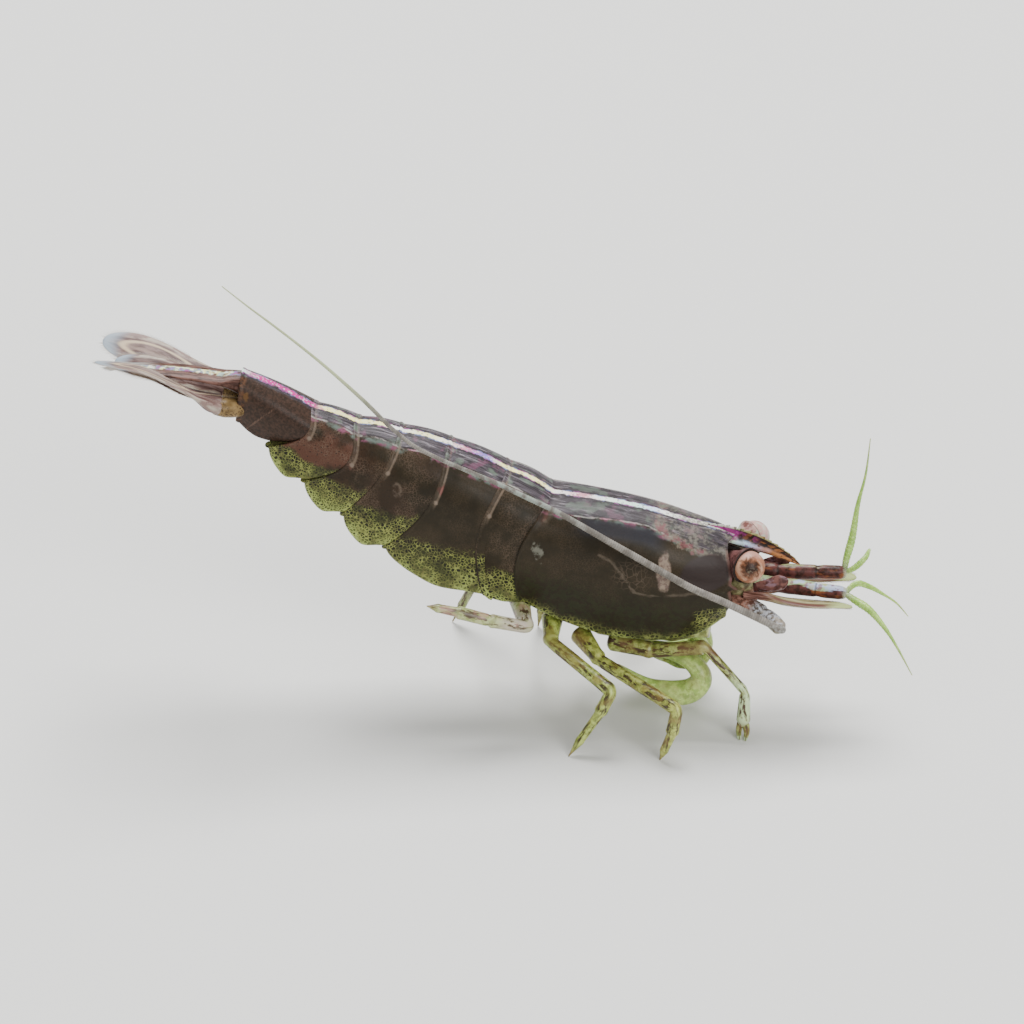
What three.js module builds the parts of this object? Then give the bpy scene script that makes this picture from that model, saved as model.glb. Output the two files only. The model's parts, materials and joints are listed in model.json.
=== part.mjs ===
// A dwarf aquarium shrimp as a still, life-size museum model, standing on seven feet with its tail held high.
// Millimetres, +Z up, +X towards the head, +Y towards the animal's left.
// The origin is the middle of the footprint.
// Every piece is a ringed skin: a cylinder's own grid of rings, laid over a path by a placing function.
import * as THREE from "three";
import { mergeVertices } from "three/addons/utils/BufferGeometryUtils.js";

// ---------- driving dimensions ----------
const GAP = 0.06; // between neighbouring pieces
const TRUNK_SIDES = 26;
const LIMB_SIDES = 6;
const THINNEST = 0.25; // least radius of a leg or feeler
const KNEE_BLEND = 0.01; // share of a line on each side of a knee
const MATERIAL = {
  shell: finish(0x3a2c28, 0.28),
  belly: finish(0x7c8a4e, 0.45),
  fan: finish(0x8a7a72, 0.35),
  limb: finish(0x8c8a4a, 0.45),
  whip: finish(0xa9a596, 0.5),
  feeler: finish(0xa8c07a, 0.5),
  stem: finish(0x7a3a34, 0.35),
  eye: finish(0x8c4a3a, 0.12),
};

function finish(color, roughness) {
  return new THREE.MeshStandardMaterial({ color, roughness, metalness: 0 });
}

function at(x, y, z) {
  return new THREE.Vector3(x, y, z);
}

function curve(points) {
  return new THREE.CatmullRomCurve3(points.map((p) => at(...p)), false, "centripetal");
}

function mix(a, b, t) {
  return a + (b - a) * t;
}

function bump(t) {
  return Math.sin(Math.PI * Math.min(1, Math.max(0, t)));
}

// ---------- the ringed skin ----------
// place(ring, turn) gives the point of a ring at a turn from 0 to 1; hub(ring) gives the middle of an end cap.
function skin(sides, rings, place, hub) {
  const grid = new THREE.CylinderGeometry(1, 1, 1, sides, rings - 1);
  grid.deleteAttribute("normal");
  grid.deleteAttribute("uv");
  const spots = grid.getAttribute("position");
  for (let i = 0; i < spots.count; i++) {
    const ring = Math.round((0.5 - spots.getY(i)) * (rings - 1));
    const reach = Math.hypot(spots.getX(i), spots.getZ(i));
    const turn = (Math.atan2(spots.getX(i), spots.getZ(i)) / (2 * Math.PI) + 1) % 1;
    const spot = reach < 0.5 ? hub(ring) : place(ring, turn);
    spots.setXYZ(i, spot.x, spot.y, spot.z);
  }
  return faceOutwards(mergeVertices(grid, 1e-4));
}

function faceOutwards(geometry) {
  const spots = geometry.getAttribute("position");
  const faces = geometry.index.array;
  const [a, b, c] = [at(0, 0, 0), at(0, 0, 0), at(0, 0, 0)];
  let volume = 0;
  for (let i = 0; i < faces.length; i += 3) {
    a.fromBufferAttribute(spots, faces[i]);
    b.fromBufferAttribute(spots, faces[i + 1]);
    c.fromBufferAttribute(spots, faces[i + 2]);
    volume += a.dot(b.cross(c));
  }
  if (volume < 0) {
    for (let i = 0; i < faces.length; i += 3) {
      [faces[i + 1], faces[i + 2]] = [faces[i + 2], faces[i + 1]];
    }
  }
  geometry.computeVertexNormals();
  return geometry;
}

// The way a line runs at a share of it. At a knee, it is half-way between the two segments' ways.
function wayAt(line, share) {
  const before = line.getTangentAt(Math.max(0, share - KNEE_BLEND));
  return before.add(line.getTangentAt(Math.min(1, share + KNEE_BLEND))).normalize();
}

// A limb, feeler or blade: rings square to a path, each wide x deep, on the path's own points or between them.
// beads: [share of the path, half width, half depth], and lie is the direction that the width runs in.
function limb({ path, beads, sides = LIMB_SIDES, lie = [0, 1, 0], flatEnd = false }) {
  const line = path instanceof THREE.Curve ? path : curve(path);
  const across = at(...lie);
  const frames = beads.map(([share, wide, deep], i) => {
    const along = wayAt(line, share);
    const width = across.clone().addScaledVector(along, -across.dot(along)).normalize();
    const depth = along.clone().cross(width);
    const standing = flatEnd && i === beads.length - 1;
    return {
      spot: line.getPointAt(share),
      width: standing ? at(0, 1, 0) : width,
      depth: standing ? at(1, 0, 0) : depth,
      wide,
      deep,
    };
  });
  return skin(
    sides,
    beads.length,
    (ring, turn) => {
      const f = frames[ring];
      const angle = 2 * Math.PI * turn;
      return f.spot
        .clone()
        .addScaledVector(f.width, f.wide * Math.cos(angle))
        .addScaledVector(f.depth, f.deep * Math.sin(angle));
    },
    (ring) => frames[ring].spot.clone(),
  );
}

const shrimp = new THREE.Group();

function piece(name, geometry, material) {
  const mesh = new THREE.Mesh(geometry, material);
  mesh.name = name;
  shrimp.add(mesh);
  return mesh;
}

const SIDES = [
  ["right", -1],
  ["left", 1],
];

function sided(points, side) {
  return points.map(([x, y, z]) => [x, y * side, z]);
}

// ---------- the trunk's cross-section ----------
// A section hangs from a point of the back to a point of the hem.
// Turn 0 is the back's ridge and turn 0.5 the middle of the belly.
// keel 1 makes the back an arch, and less than 1 a broader one.
const FLANK_STEPS = 10; // steps from the ridge down to the hem, of the 13 on each side
const WIDEST = 0.39; // share of the depth at which the section is widest
const HEM_THICK = 0.36;
const CAP_RISE = 0.04;
const BOW_WAY = at(0.95, 0, -0.3);

function sectionPoint({ back, hem, wide, tuck, keel, belly, bow }, turn) {
  const half = TRUNK_SIDES / 2;
  const step = Math.round(Math.min(turn, 1 - turn) * TRUNK_SIDES);
  const side = turn <= 0.5 ? 1 : -1;
  const edge = wide * (1 - tuck);
  let down;
  let out;
  if (step <= FLANK_STEPS / 2) {
    const arc = (step / (FLANK_STEPS / 2)) * (Math.PI / 2);
    down = WIDEST * (1 - Math.cos(arc));
    out = wide * Math.sin(arc) ** keel;
  } else if (step <= FLANK_STEPS) {
    const fall = (step - FLANK_STEPS / 2) / (FLANK_STEPS / 2);
    down = mix(WIDEST, 1, fall);
    out = wide * (1 - tuck * fall * fall);
  } else {
    const inwards = (step - FLANK_STEPS - 1) / (half - FLANK_STEPS - 1);
    down = inwards ? belly : 1;
    out = (edge - HEM_THICK) * (1 - inwards) ** 0.4;
  }
  const spot = at(mix(back[0], hem[0], down), side * out, mix(back[1], hem[1], down));
  return spot.addScaledVector(BOW_WAY, bow * 4 * down * (1 - down));
}

function trunk(sections) {
  return skin(
    TRUNK_SIDES,
    sections.length,
    (ring, turn) => sectionPoint(sections[ring], turn),
    (ring) => {
      const s = sections[ring];
      const deep = s.belly - CAP_RISE;
      const spot = at(mix(s.back[0], s.hem[0], deep), 0, mix(s.back[1], s.hem[1], deep));
      return spot.addScaledVector(BOW_WAY, s.bow * 4 * deep * (1 - deep));
    },
  );
}

const REAR_BOW = -0.55; // the carapace's rear margin swells back over the first somite
// The joints between somites, from the carapace back: the ridge, the hem and the half width there.
const JOINTS = [
  { back: [0.9, 9.08], hem: [-0.13, 5.12], wide: 1.9, keel: 0.7, bow: REAR_BOW },
  { back: [-0.8, 9.98], hem: [-1.55, 5.32], wide: 1.86, keel: 0.76, bow: -0.6 },
  { back: [-3.05, 10.94], hem: [-5.38, 7.2], wide: 1.74, keel: 0.86, bow: 0.5 },
  { back: [-4.92, 11.42], hem: [-7.0, 8.48], wide: 1.56, keel: 0.88, bow: 0.25 },
  { back: [-6.65, 11.72], hem: [-8.5, 9.75], wide: 1.36, keel: 0.92, bow: 0.75 },
  { back: [-8.28, 12.28], hem: [-9.9, 11.06], wide: 1.1, keel: 1, bow: 0.6 },
  { back: [-10.95, 13.66], hem: [-11.15, 11.68], wide: 0.8, keel: 1.15, bow: 0 },
];

// ---------- carapace ----------
// The ridge of the back and the lower hem, each from the rear margin to the eyes, as [x, z].
const CARAPACE_BACK = [[0.9, 9.08], [2.6, 8.9], [4.4, 8.6], [6.1, 8.14], [7.1, 7.9], [7.6, 7.72]];
const CARAPACE_HEM = [[-0.13, 5.12], [1.2, 4.46], [3.2, 3.84], [5.2, 3.76], [6.9, 3.92], [7.78, 4.36]];
const CARAPACE_RINGS = 18;
const CARAPACE_WIDE = 2.04;

function flat(points) {
  return curve(points.map(([x, z]) => [x, 0, z]));
}

function carapaceSections() {
  const back = flat(CARAPACE_BACK);
  const hem = flat(CARAPACE_HEM);
  return Array.from({ length: CARAPACE_RINGS }, (_, i) => {
    const t = i / (CARAPACE_RINGS - 1);
    const top = back.getPointAt(t);
    const low = hem.getPointAt(t);
    const front = Math.max(0, (t - 0.62) / 0.38);
    return {
      back: [top.x, top.z],
      hem: [low.x, low.z],
      wide: CARAPACE_WIDE * (mix(0.94, 1, bump(t * 0.5 + 0.18)) - 0.36 * front * front),
      tuck: mix(0.13, 0.3, front),
      keel: mix(JOINTS[0].keel, 1.1, t * t),
      belly: 1,
      bow: REAR_BOW * (1 - t) ** 3,
    };
  });
}

piece("carapace", trunk(carapaceSections()), MATERIAL.shell);

// ---------- rostrum ----------
const ROSTRUM_BEADS = [
  [0, 0.26, 0.3], [0.12, 0.26, 0.36], [0.35, 0.24, 0.36],
  [0.6, 0.23, 0.3], [0.82, 0.2, 0.22], [1, 0.1, 0.1],
];
piece(
  "rostrum",
  limb({
    path: [[7.72, 0, 7.52], [8.6, 0, 7.28], [9.6, 0, 6.88], [10.42, 0, 6.4]],
    beads: ROSTRUM_BEADS,
    sides: 8,
  }),
  MATERIAL.shell,
);

// ---------- abdomen ----------
// How far each somite's flap drops below the line from hem to hem, and how round its rear corner is.
const FLAPS = [0.12, 0.6, 0.64, 0.62, 0.6, 0.16];
const FLAP_WAY = at(0.3, 0, -0.95);
const FLAP_ONSET = 2.2; // how fast the flap drops, behind the front margin
const FLAP_FULL = 0.55; // share of the somite where its rear corner begins to round off
const SOMITE_SWELL = 0.035;
const SOMITE_STEPS = [0, 0.18, 0.45, 0.7, 0.86, 0.95, 1];

function somiteSections(number) {
  const front = JOINTS[number - 1];
  const rear = JOINTS[number];
  const last = number === JOINTS.length - 1;
  const length = Math.hypot(front.back[0] - rear.back[0], front.back[1] - rear.back[1]);
  const trim = GAP / 2 / length;
  return SOMITE_STEPS.map((step) => {
    const t = mix(trim, 1 - trim, step);
    const swell = bump(t);
    const past = Math.max(0, t - FLAP_FULL) / (1 - FLAP_FULL);
    const flap = Math.min(1, t * FLAP_ONSET) * Math.sqrt(1 - Math.min(1, past * past));
    const fall = FLAP_WAY.clone().multiplyScalar(FLAPS[number - 1] * (last ? swell : flap));
    return {
      back: [mix(front.back[0], rear.back[0], t), mix(front.back[1], rear.back[1], t) + 0.1 * swell],
      hem: [mix(front.hem[0], rear.hem[0], t) - fall.x, mix(front.hem[1], rear.hem[1], t) + fall.z],
      wide: mix(front.wide, rear.wide, t) * (1 + SOMITE_SWELL * swell),
      tuck: last ? 0.35 : 0.1,
      keel: mix(front.keel, rear.keel, t),
      belly: last ? 1 : 0.83,
      bow: mix(front.bow, rear.bow, t),
    };
  });
}

for (let number = 1; number <= FLAPS.length; number++) {
  piece(`abdomen_${number}`, trunk(somiteSections(number)), MATERIAL.shell);
}

// ---------- tail fan ----------
piece(
  "telson",
  limb({
    path: [[-11.1, 0, 13.16], [-12.6, 0, 13.44], [-14.5, 0, 13.54], [-16.3, 0, 13.56]],
    beads: [[0, 0.5, 0.36], [0.15, 0.62, 0.36], [0.5, 0.5, 0.3], [0.85, 0.32, 0.26], [1, 0.16, 0.25]],
    sides: 8,
  }),
  MATERIAL.fan,
);

// The right blades are folded beside the telson and the left ones are spread.
// A tilt is in radians and raises the outer edge.
const FAN = {
  right: {
    inner: [[-12.2, -0.7, 12.74], [-13.3, -1.0, 13.26], [-14.5, -0.9, 13.8], [-16.0, -0.78, 14.06]],
    outer: [[-12.16, -1.24, 12.76], [-13.3, -1.66, 13.72], [-14.6, -1.78, 14.46], [-16.5, -1.6, 14.62]],
    innerTilt: 0.1,
    outerTilt: 0.3,
    outerWide: 0.7,
  },
  left: {
    inner: [[-12.18, 0.62, 12.58], [-13.6, 0.95, 12.82], [-14.8, 1.12, 12.98], [-16.2, 1.22, 13.1]],
    outer: [[-12.18, 1.22, 12.62], [-13.8, 1.75, 12.86], [-15.2, 2.1, 13.16], [-16.8, 2.3, 13.42]],
    innerTilt: 0.5,
    outerTilt: 0.5,
    outerWide: 0.76,
  },
};
const BLADE = [[0, 0.2], [0.1, 0.36], [0.3, 0.66], [0.6, 0.96], [0.82, 1], [0.95, 0.72], [1, 0.35]];

function blade(path, halfWidth, lie) {
  const beads = BLADE.map(([t, w]) => [t, Math.max(THINNEST, w * halfWidth), THINNEST]);
  return limb({ path, beads, sides: 8, lie });
}

function raised(angle, side) {
  return [0, Math.cos(angle) * side, Math.sin(angle)];
}

for (const [name, side] of SIDES) {
  const fan = FAN[name];
  piece(
    `uropod_base_${name}`,
    limb({
      path: sided([[-11.24, 0.5, 12.35], [-11.6, 0.7, 12.42], [-12.1, 0.9, 12.55]], side),
      beads: [[0, 0.3, 0.36], [0.25, 0.4, 0.44], [0.75, 0.42, 0.42], [1, 0.36, 0.3]],
      sides: 8,
    }),
    MATERIAL.fan,
  );
  piece(`uropod_inner_${name}`, blade(fan.inner, 0.38, raised(fan.innerTilt, side)), MATERIAL.fan);
  piece(`uropod_outer_${name}`, blade(fan.outer, fan.outerWide, raised(fan.outerTilt, side)), MATERIAL.fan);
}

// ---------- head ----------
piece(
  "face",
  limb({
    path: [[7.92, 0, 5.62], [8.3, 0, 5.62], [8.72, 0, 5.7]],
    beads: [[0, 0.78, 0.6], [0.4, 0.92, 0.68], [1, 0.82, 0.5]],
    sides: 12,
  }),
  MATERIAL.stem,
);

const STALK_BEADS = [[0, 0.26, 0.28], [0.5, 0.3, 0.3], [1, 0.28, 0.28]];
const EYE = { x: 8.66, y: 1.16, z: 6.86, radius: 0.62 };
for (const [name, side] of SIDES) {
  const eye = at(EYE.x, EYE.y * side, EYE.z);
  const root = at(7.78, 0.46 * side, 6.84);
  const stalk = eye.clone().sub(root).normalize();
  const reach = eye.distanceTo(root) - EYE.radius - GAP;
  const end = root.clone().addScaledVector(stalk, reach);
  piece(
    `eyestalk_${name}`,
    limb({ path: [root.toArray(), end.toArray()], beads: STALK_BEADS, sides: 10 }),
    MATERIAL.shell,
  );
  const ball = new THREE.SphereGeometry(EYE.radius, 16, 10);
  ball.deleteAttribute("normal");
  ball.deleteAttribute("uv");
  ball.rotateZ(Math.PI / 2);
  piece(`eye_${name}`, faceOutwards(mergeVertices(ball, 1e-4)), MATERIAL.eye).position.copy(eye);
}

// ---------- antennules: a stem of three segments and two feelers each ----------
const STEM_BEADS = [
  [0, 0.3], [0.08, 0.37], [0.3, 0.35], [0.38, 0.27], [0.44, 0.3],
  [0.68, 0.28], [0.73, 0.25], [0.79, 0.28], [0.97, 0.26], [1, 0.2],
];
const FEELER_BEADS = [0, 0.2, 0.45, 0.7, 1].map((share) => [share, THINNEST]);

function round(beads, grow = 1) {
  return beads.map(([t, r]) => [t, r * grow, r * grow]);
}

const ANTENNULE_STEM = {
  right: [[8.8, -0.44, 5.7], [10.1, -0.44, 5.66], [11.3, -0.52, 5.6], [12.3, -0.6, 5.58]],
  left: [[8.8, 0.44, 5.8], [10.1, 0.38, 5.84], [11.3, 0.48, 5.84], [12.2, 0.6, 5.8]],
};
const FEELERS = {
  right_outer: [
    [12.56, -0.74, 5.4], [12.96, -0.92, 5.28], [13.5, -1.2, 4.9],
    [14.08, -1.5, 4.25], [14.95, -2.0, 2.9],
  ],
  right_inner: [
    [12.62, -0.3, 5.86], [13.08, -0.15, 5.68], [13.48, 0, 5.36],
    [14.0, 0.1, 5.0], [14.62, 0.3, 4.16],
  ],
  left_outer: [
    [12.14, 0.76, 6.24], [12.32, 1.0, 6.98], [12.5, 1.5, 8.3],
    [12.76, 1.8, 9.5], [12.9, 2.0, 11.0],
  ],
  left_inner: [
    [12.5, 0.54, 6.08], [12.8, 0.78, 6.26], [12.94, 1.05, 6.42],
    [12.96, 1.9, 6.1], [12.96, 2.9, 5.5],
  ],
};
for (const [name] of SIDES) {
  const stem = limb({ path: ANTENNULE_STEM[name], beads: round(STEM_BEADS), sides: 8 });
  piece(`antennule_stem_${name}`, stem, MATERIAL.stem);
}
for (const [name, path] of Object.entries(FEELERS)) {
  const lie = name === "left_inner" ? [0.3, 0, 1] : [0, 1, 0]; // this one runs across the body
  piece(`antennule_feeler_${name}`, limb({ path, beads: round(FEELER_BEADS), lie }), MATERIAL.feeler);
}

// ---------- antennae: a stem, a scale beside it and a long whip in three lengths ----------
const ANTENNA_STEM = [[8.4, 1.05, 5.08], [9.05, 1.3, 5.0], [9.95, 1.92, 4.52]];
const ANTENNA_STEM_BEADS = [
  [0, 0.26], [0.15, 0.33], [0.5, 0.28], [0.58, 0.24], [0.68, 0.27], [0.94, 0.25], [1, 0.18],
];
const SCALE = [
  [8.9, 1.18, 5.66], [9.7, 1.12, 5.42], [10.7, 1.12, 5.32],
  [11.7, 1.14, 5.36], [12.55, 1.12, 5.28],
];
const SCALE_WIDE = 1;
const WHIP = {
  right: [
    [9.86, -2.42, 4.92], [9.2, -2.4, 5.22], [8.0, -2.4, 5.84], [6.9, -2.44, 6.3],
    [3.85, -2.5, 8.08], [1.24, -2.5, 9.63], [0.45, -2.45, 9.98], [-1.04, -2.4, 10.67],
    [-2.88, -2.4, 11.46], [-3.65, -2.45, 11.84], [-4.4, -2.52, 12.34], [-5.15, -2.6, 13.08],
    [-6.0, -2.7, 14.08], [-7.76, -2.85, 15.87], [-9.19, -2.98, 17.16], [-10.55, -3.05, 18.29],
    [-11.36, -3.05, 18.97],
  ],
  left: [
    [9.98, 2.42, 4.42], [9.2, 2.5, 4.6], [8.0, 2.6, 4.95], [6.0, 2.7, 5.6], [2.5, 2.8, 6.6], [-2.0, 2.9, 7.9],
    [-6.0, 3.1, 9.2], [-9.5, 3.4, 10.4], [-13.0, 3.8, 11.6],
  ],
};
const WHIP_LENGTHS = 3;

for (const [name, side] of SIDES) {
  const stem = limb({ path: sided(ANTENNA_STEM, side), beads: round(ANTENNA_STEM_BEADS), sides: 8 });
  piece(`antenna_stem_${name}`, stem, MATERIAL.stem);
  piece(`antenna_scale_${name}`, blade(sided(SCALE, side), SCALE_WIDE / 2, raised(0.2, side)), MATERIAL.fan);
  const line = curve(WHIP[name]);
  const whole = line.getLength();
  for (let length = 0; length < WHIP_LENGTHS; length++) {
    const from = length / WHIP_LENGTHS + (length ? GAP / whole : 0);
    const to = (length + 1) / WHIP_LENGTHS;
    const beads = Array.from({ length: 8 }, (_, i) => [mix(from, to, i / 7), THINNEST, THINNEST]);
    piece(`antenna_whip_${name}_${length + 1}`, limb({ path: line, beads }), MATERIAL.whip);
  }
}

// ---------- breast plate between the legs ----------
const BREAST_BEADS = [0, 1, 2, 3, 4, 5, 6].map((i) => [i / 6, mix(0.7, 0.9, bump(i / 6)), 0.27]);
piece(
  "breast_plate",
  limb({
    path: [[0.15, 0, 4.55], [1.7, 0, 3.9], [3.4, 0, 3.44], [5.2, 0, 3.38], [7.0, 0, 3.6]],
    beads: BREAST_BEADS,
    sides: 8,
  }),
  MATERIAL.belly,
);

// ---------- legs ----------
// Joints of each leg, from hip to toe. A toe at z 0 stands on the floor with a small flat.
const LEGS = {
  leg_2_right: [
    [3.4, -0.95, 2.9], [4.9, -1.35, 3.0], [6.98, -2.1, 3.74],
    [8.56, -2.5, 2.08], [8.5, -2.7, 0],
  ],
  leg_3_right: [
    [2.1, -0.9, 3.02], [2.9, -1.9, 2.78], [6.12, -4.5, 2.34],
    [5.94, -4.58, 1.3], [5.46, -4.5, 0],
  ],
  leg_4_right: [
    [0.95, -0.9, 3.62], [1.0, -2.0, 3.56], [3.56, -4.0, 2.68],
    [3.12, -4.2, 1.8], [1.95, -4.6, 0],
  ],
  leg_5_right: [
    [-0.35, -0.8, 4.5], [0.16, -3.0, 4.74], [-1.2, -3.4, 5.18],
    [-2.44, -3.6, 5.6], [-3.6, -3.8, 5.92],
  ],
  leg_2_left: [[3.4, 0.95, 2.72], [4.4, 1.7, 2.9], [5.6, 3.3, 3.3], [6.1, 4.1, 2.2], [6.0, 4.7, 0]],
  leg_3_left: [[2.2, 0.9, 3.02], [2.5, 1.8, 3.1], [3.5, 4.0, 3.3], [3.6, 4.5, 2.2], [3.7, 5.0, 0]],
  leg_4_left: [[0.95, 0.9, 3.62], [0.9, 1.8, 3.8], [0.6, 4.1, 3.5], [0.2, 4.5, 2.4], [-0.2, 5.0, 0]],
  leg_5_left: [[-0.35, 0.8, 4.42], [-0.7, 1.7, 4.5], [-1.5, 3.8, 4.0], [-2.4, 4.4, 2.7], [-3.6, 5.0, 0]],
};
const HIP_RADIUS = 0.36;
const SEGMENT_RADII = [0.35, 0.33, 0.28, 0.26]; // upper leg, thigh, shank, foot
// The stout first pair, folded under the mouth and swollen towards its pincers.
const CLAW_LEGS = {
  right: [
    [4.7, -0.5, 2.7], [5.6, -0.9, 2.72], [6.5, -1.22, 2.42], [6.8, -1.38, 1.88],
    [6.3, -1.42, 1.3], [5.5, -1.42, 1.2], [4.55, -1.4, 1.45], [3.5, -1.35, 2.3],
  ],
  left: [
    [4.7, 0.5, 2.7], [5.5, 0.9, 2.72], [6.3, 1.25, 2.5], [6.55, 1.4, 1.95],
    [6.05, 1.45, 1.42], [5.3, 1.45, 1.3], [4.6, 1.42, 1.5], [3.8, 1.38, 2.1],
  ],
};
const CLAW_BEADS = [
  [0, 0.32], [0.12, 0.33], [0.24, 0.3], [0.34, 0.28], [0.42, 0.28],
  [0.52, 0.34], [0.64, 0.41], [0.76, 0.38], [0.88, 0.32], [1, 0.25],
];

function legBeads(points, radii) {
  const lengths = points.slice(1).map((p, i) => at(...p).distanceTo(at(...points[i])));
  const whole = lengths.reduce((sum, l) => sum + l, 0);
  const beads = [[0, HIP_RADIUS]];
  let run = 0;
  lengths.forEach((length, i) => {
    const radius = radii[i];
    const ends = i === lengths.length - 1 ? [0.22, 0.6] : [0.3, 0.75];
    for (const share of ends) beads.push([(run + share * length) / whole, radius]);
    run += length;
    if (i < lengths.length - 1) beads.push([run / whole, radius * 1.04]);
  });
  beads.push([1, THINNEST]);
  return round(beads);
}

// The straight run from joint to joint, with each knee's corner kept.
function jointed(points) {
  const path = new THREE.CurvePath();
  points.slice(1).forEach((p, i) => path.add(new THREE.LineCurve3(at(...points[i]), at(...p))));
  return path;
}

for (const [name, points] of Object.entries(LEGS)) {
  const flatEnd = points[points.length - 1][2] === 0;
  piece(name, limb({ path: jointed(points), beads: legBeads(points, SEGMENT_RADII), flatEnd }), MATERIAL.limb);
}
for (const [name, points] of Object.entries(CLAW_LEGS)) {
  piece(`leg_1_${name}`, limb({ path: points, beads: round(CLAW_BEADS) }), MATERIAL.limb);
}

// ---------- folded jaw feet under the mouth ----------
const JAW_FOOT = [[6.7, 0.38, 3.3], [7.05, 0.36, 2.7], [6.95, 0.34, 2.1], [6.2, 0.33, 1.85], [5.4, 0.33, 2.0]];

for (const [name, side] of SIDES) {
  piece(
    `jaw_foot_${name}`,
    limb({
      path: sided(JAW_FOOT, side),
      beads: [[0, 0.27, 0.27], [0.3, 0.27, 0.34], [0.5, 0.27, 0.32], [0.75, 0.26, 0.28], [1, 0.25, 0.25]],
    }),
    MATERIAL.limb,
  );
}

// ---------- swimmerets tucked under the abdomen, between its flaps ----------
const SWIMMERET_DROP = 0.33;
const SWIMMERET_SPREAD = [0.42, 0.3]; // from the midline, for the first pair and the last

for (let number = 1; number <= 5; number++) {
  const sections = somiteSections(number);
  const spread = mix(...SWIMMERET_SPREAD, (number - 1) / 4);
  const wide = Math.min(0.32, spread - 0.04);
  const spine = [1, 3, 5].map((ring) => {
    const { back, hem } = sections[ring];
    const down = at(hem[0] - back[0], 0, hem[1] - back[1]).normalize();
    return sectionPoint(sections[ring], 0.5).addScaledVector(down, SWIMMERET_DROP);
  });
  for (const [name, side] of SIDES) {
    piece(
      `swimmeret_${number}_${name}`,
      limb({
        path: spine.map((spot) => [spot.x, spread * side, spot.z]),
        beads: [[0, 0.25, 0.25], [0.25, wide, 0.26], [0.7, wide, 0.26], [1, 0.25, 0.25]],
      }),
      MATERIAL.belly,
    );
  }
}

// ---------- the footprint's middle becomes the origin ----------
const box = new THREE.Box3().setFromObject(shrimp, true);
const middle = box.getCenter(at(0, 0, 0));
shrimp.position.set(-middle.x, -middle.y, -box.min.z);

export default shrimp;
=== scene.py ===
"""A dwarf aquarium shrimp, chocolate brown, standing on seven feet with its tail held high.

Lengths are in millimetres until a mesh is placed. A placed mesh is in metres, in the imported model's own
frame: +X towards the head, +Y towards the animal's left, +Z up.
"""
import json
import math

import bmesh
import bpy
import numpy as np
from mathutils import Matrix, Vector

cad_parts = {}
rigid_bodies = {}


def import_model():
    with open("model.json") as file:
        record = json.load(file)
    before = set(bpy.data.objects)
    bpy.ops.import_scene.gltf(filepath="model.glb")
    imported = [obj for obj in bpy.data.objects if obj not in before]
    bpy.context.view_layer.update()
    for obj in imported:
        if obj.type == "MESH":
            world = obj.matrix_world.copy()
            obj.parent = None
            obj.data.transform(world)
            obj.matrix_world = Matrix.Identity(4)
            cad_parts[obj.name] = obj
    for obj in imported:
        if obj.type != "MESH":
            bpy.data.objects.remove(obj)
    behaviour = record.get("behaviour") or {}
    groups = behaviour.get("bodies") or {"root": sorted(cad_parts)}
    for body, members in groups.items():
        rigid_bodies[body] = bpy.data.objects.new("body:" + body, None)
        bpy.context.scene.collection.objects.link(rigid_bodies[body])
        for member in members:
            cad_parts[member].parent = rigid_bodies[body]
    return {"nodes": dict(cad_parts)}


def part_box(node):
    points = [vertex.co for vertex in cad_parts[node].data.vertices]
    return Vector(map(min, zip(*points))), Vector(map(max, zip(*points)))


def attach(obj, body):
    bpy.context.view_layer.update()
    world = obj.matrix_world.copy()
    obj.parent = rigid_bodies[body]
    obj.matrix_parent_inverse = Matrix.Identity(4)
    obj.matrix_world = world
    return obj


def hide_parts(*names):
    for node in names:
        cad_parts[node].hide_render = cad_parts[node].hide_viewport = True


MM = 0.001
SIDES = {"right": -1, "left": 1}

bpy.ops.object.select_all(action="SELECT")
bpy.ops.object.delete()
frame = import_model()
bpy.context.view_layer.update()
bpy.ops.object.select_all(action="DESELECT")


def box_of(node):
    """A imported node's lowest and highest corners, in mm."""
    return [np.array(corner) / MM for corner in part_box(node)]


MID_Y = sum(corner[1] for corner in box_of("carapace")) / 2  # the animal's midline
AHEAD = (60, MID_Y, 0)  # a place well in front of the animal


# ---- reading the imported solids
def rings_of(node, first):
    """A packed limb's or plate's rings in mm, from its end nearest to `first`: [ring][corner][x, y, z]."""
    solid = bmesh.new()
    solid.from_mesh(frame["nodes"][node].data)
    bmesh.ops.remove_doubles(solid, verts=solid.verts, dist=1e-6)
    near = {v: [e.other_vert(v) for e in v.link_edges] for v in solid.verts}
    hubs = [v for v in solid.verts if all(len(near[w]) == 5 for w in near[v])]
    hub = min(hubs, key=lambda v: (v.co / MM - Vector(first)).length)
    seen = {hub}
    layer = near[hub]
    rings = []
    while len(layer) > 1:
        seen.update(layer)
        rings.append(walk_round(layer, near))
        layer = list({w for v in layer for w in near[v] if w not in seen})
    return np.array([[v.co[:] for v in ring] for ring in rings]) / MM


def walk_round(layer, near):
    """A ring's corners in order, from the highest one on the midline and on round the left side."""
    inside = set(layer)
    ring = [max(layer, key=lambda v: v.co.z - 50 * abs(v.co.y - MID_Y * MM))]
    ring.append(max((w for w in near[ring[0]] if w in inside), key=lambda w: w.co.y))
    while len(ring) < len(layer):
        ring.append(next(w for w in near[ring[-1]] if w in inside and w not in ring[-2:]))
    return ring


def spine(node, first):
    """A limb's ring centres in mm, from the end nearest to `first`."""
    return rings_of(node, first).mean(axis=1)


def width_way(node, first):
    """The direction in which a packed blade is wide."""
    rings = rings_of(node, first)
    middle = rings[len(rings) // 2]
    way = np.linalg.svd(middle - middle.mean(axis=0))[2][0]
    return way * (1 if way[2] > 0 else -1)


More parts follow.
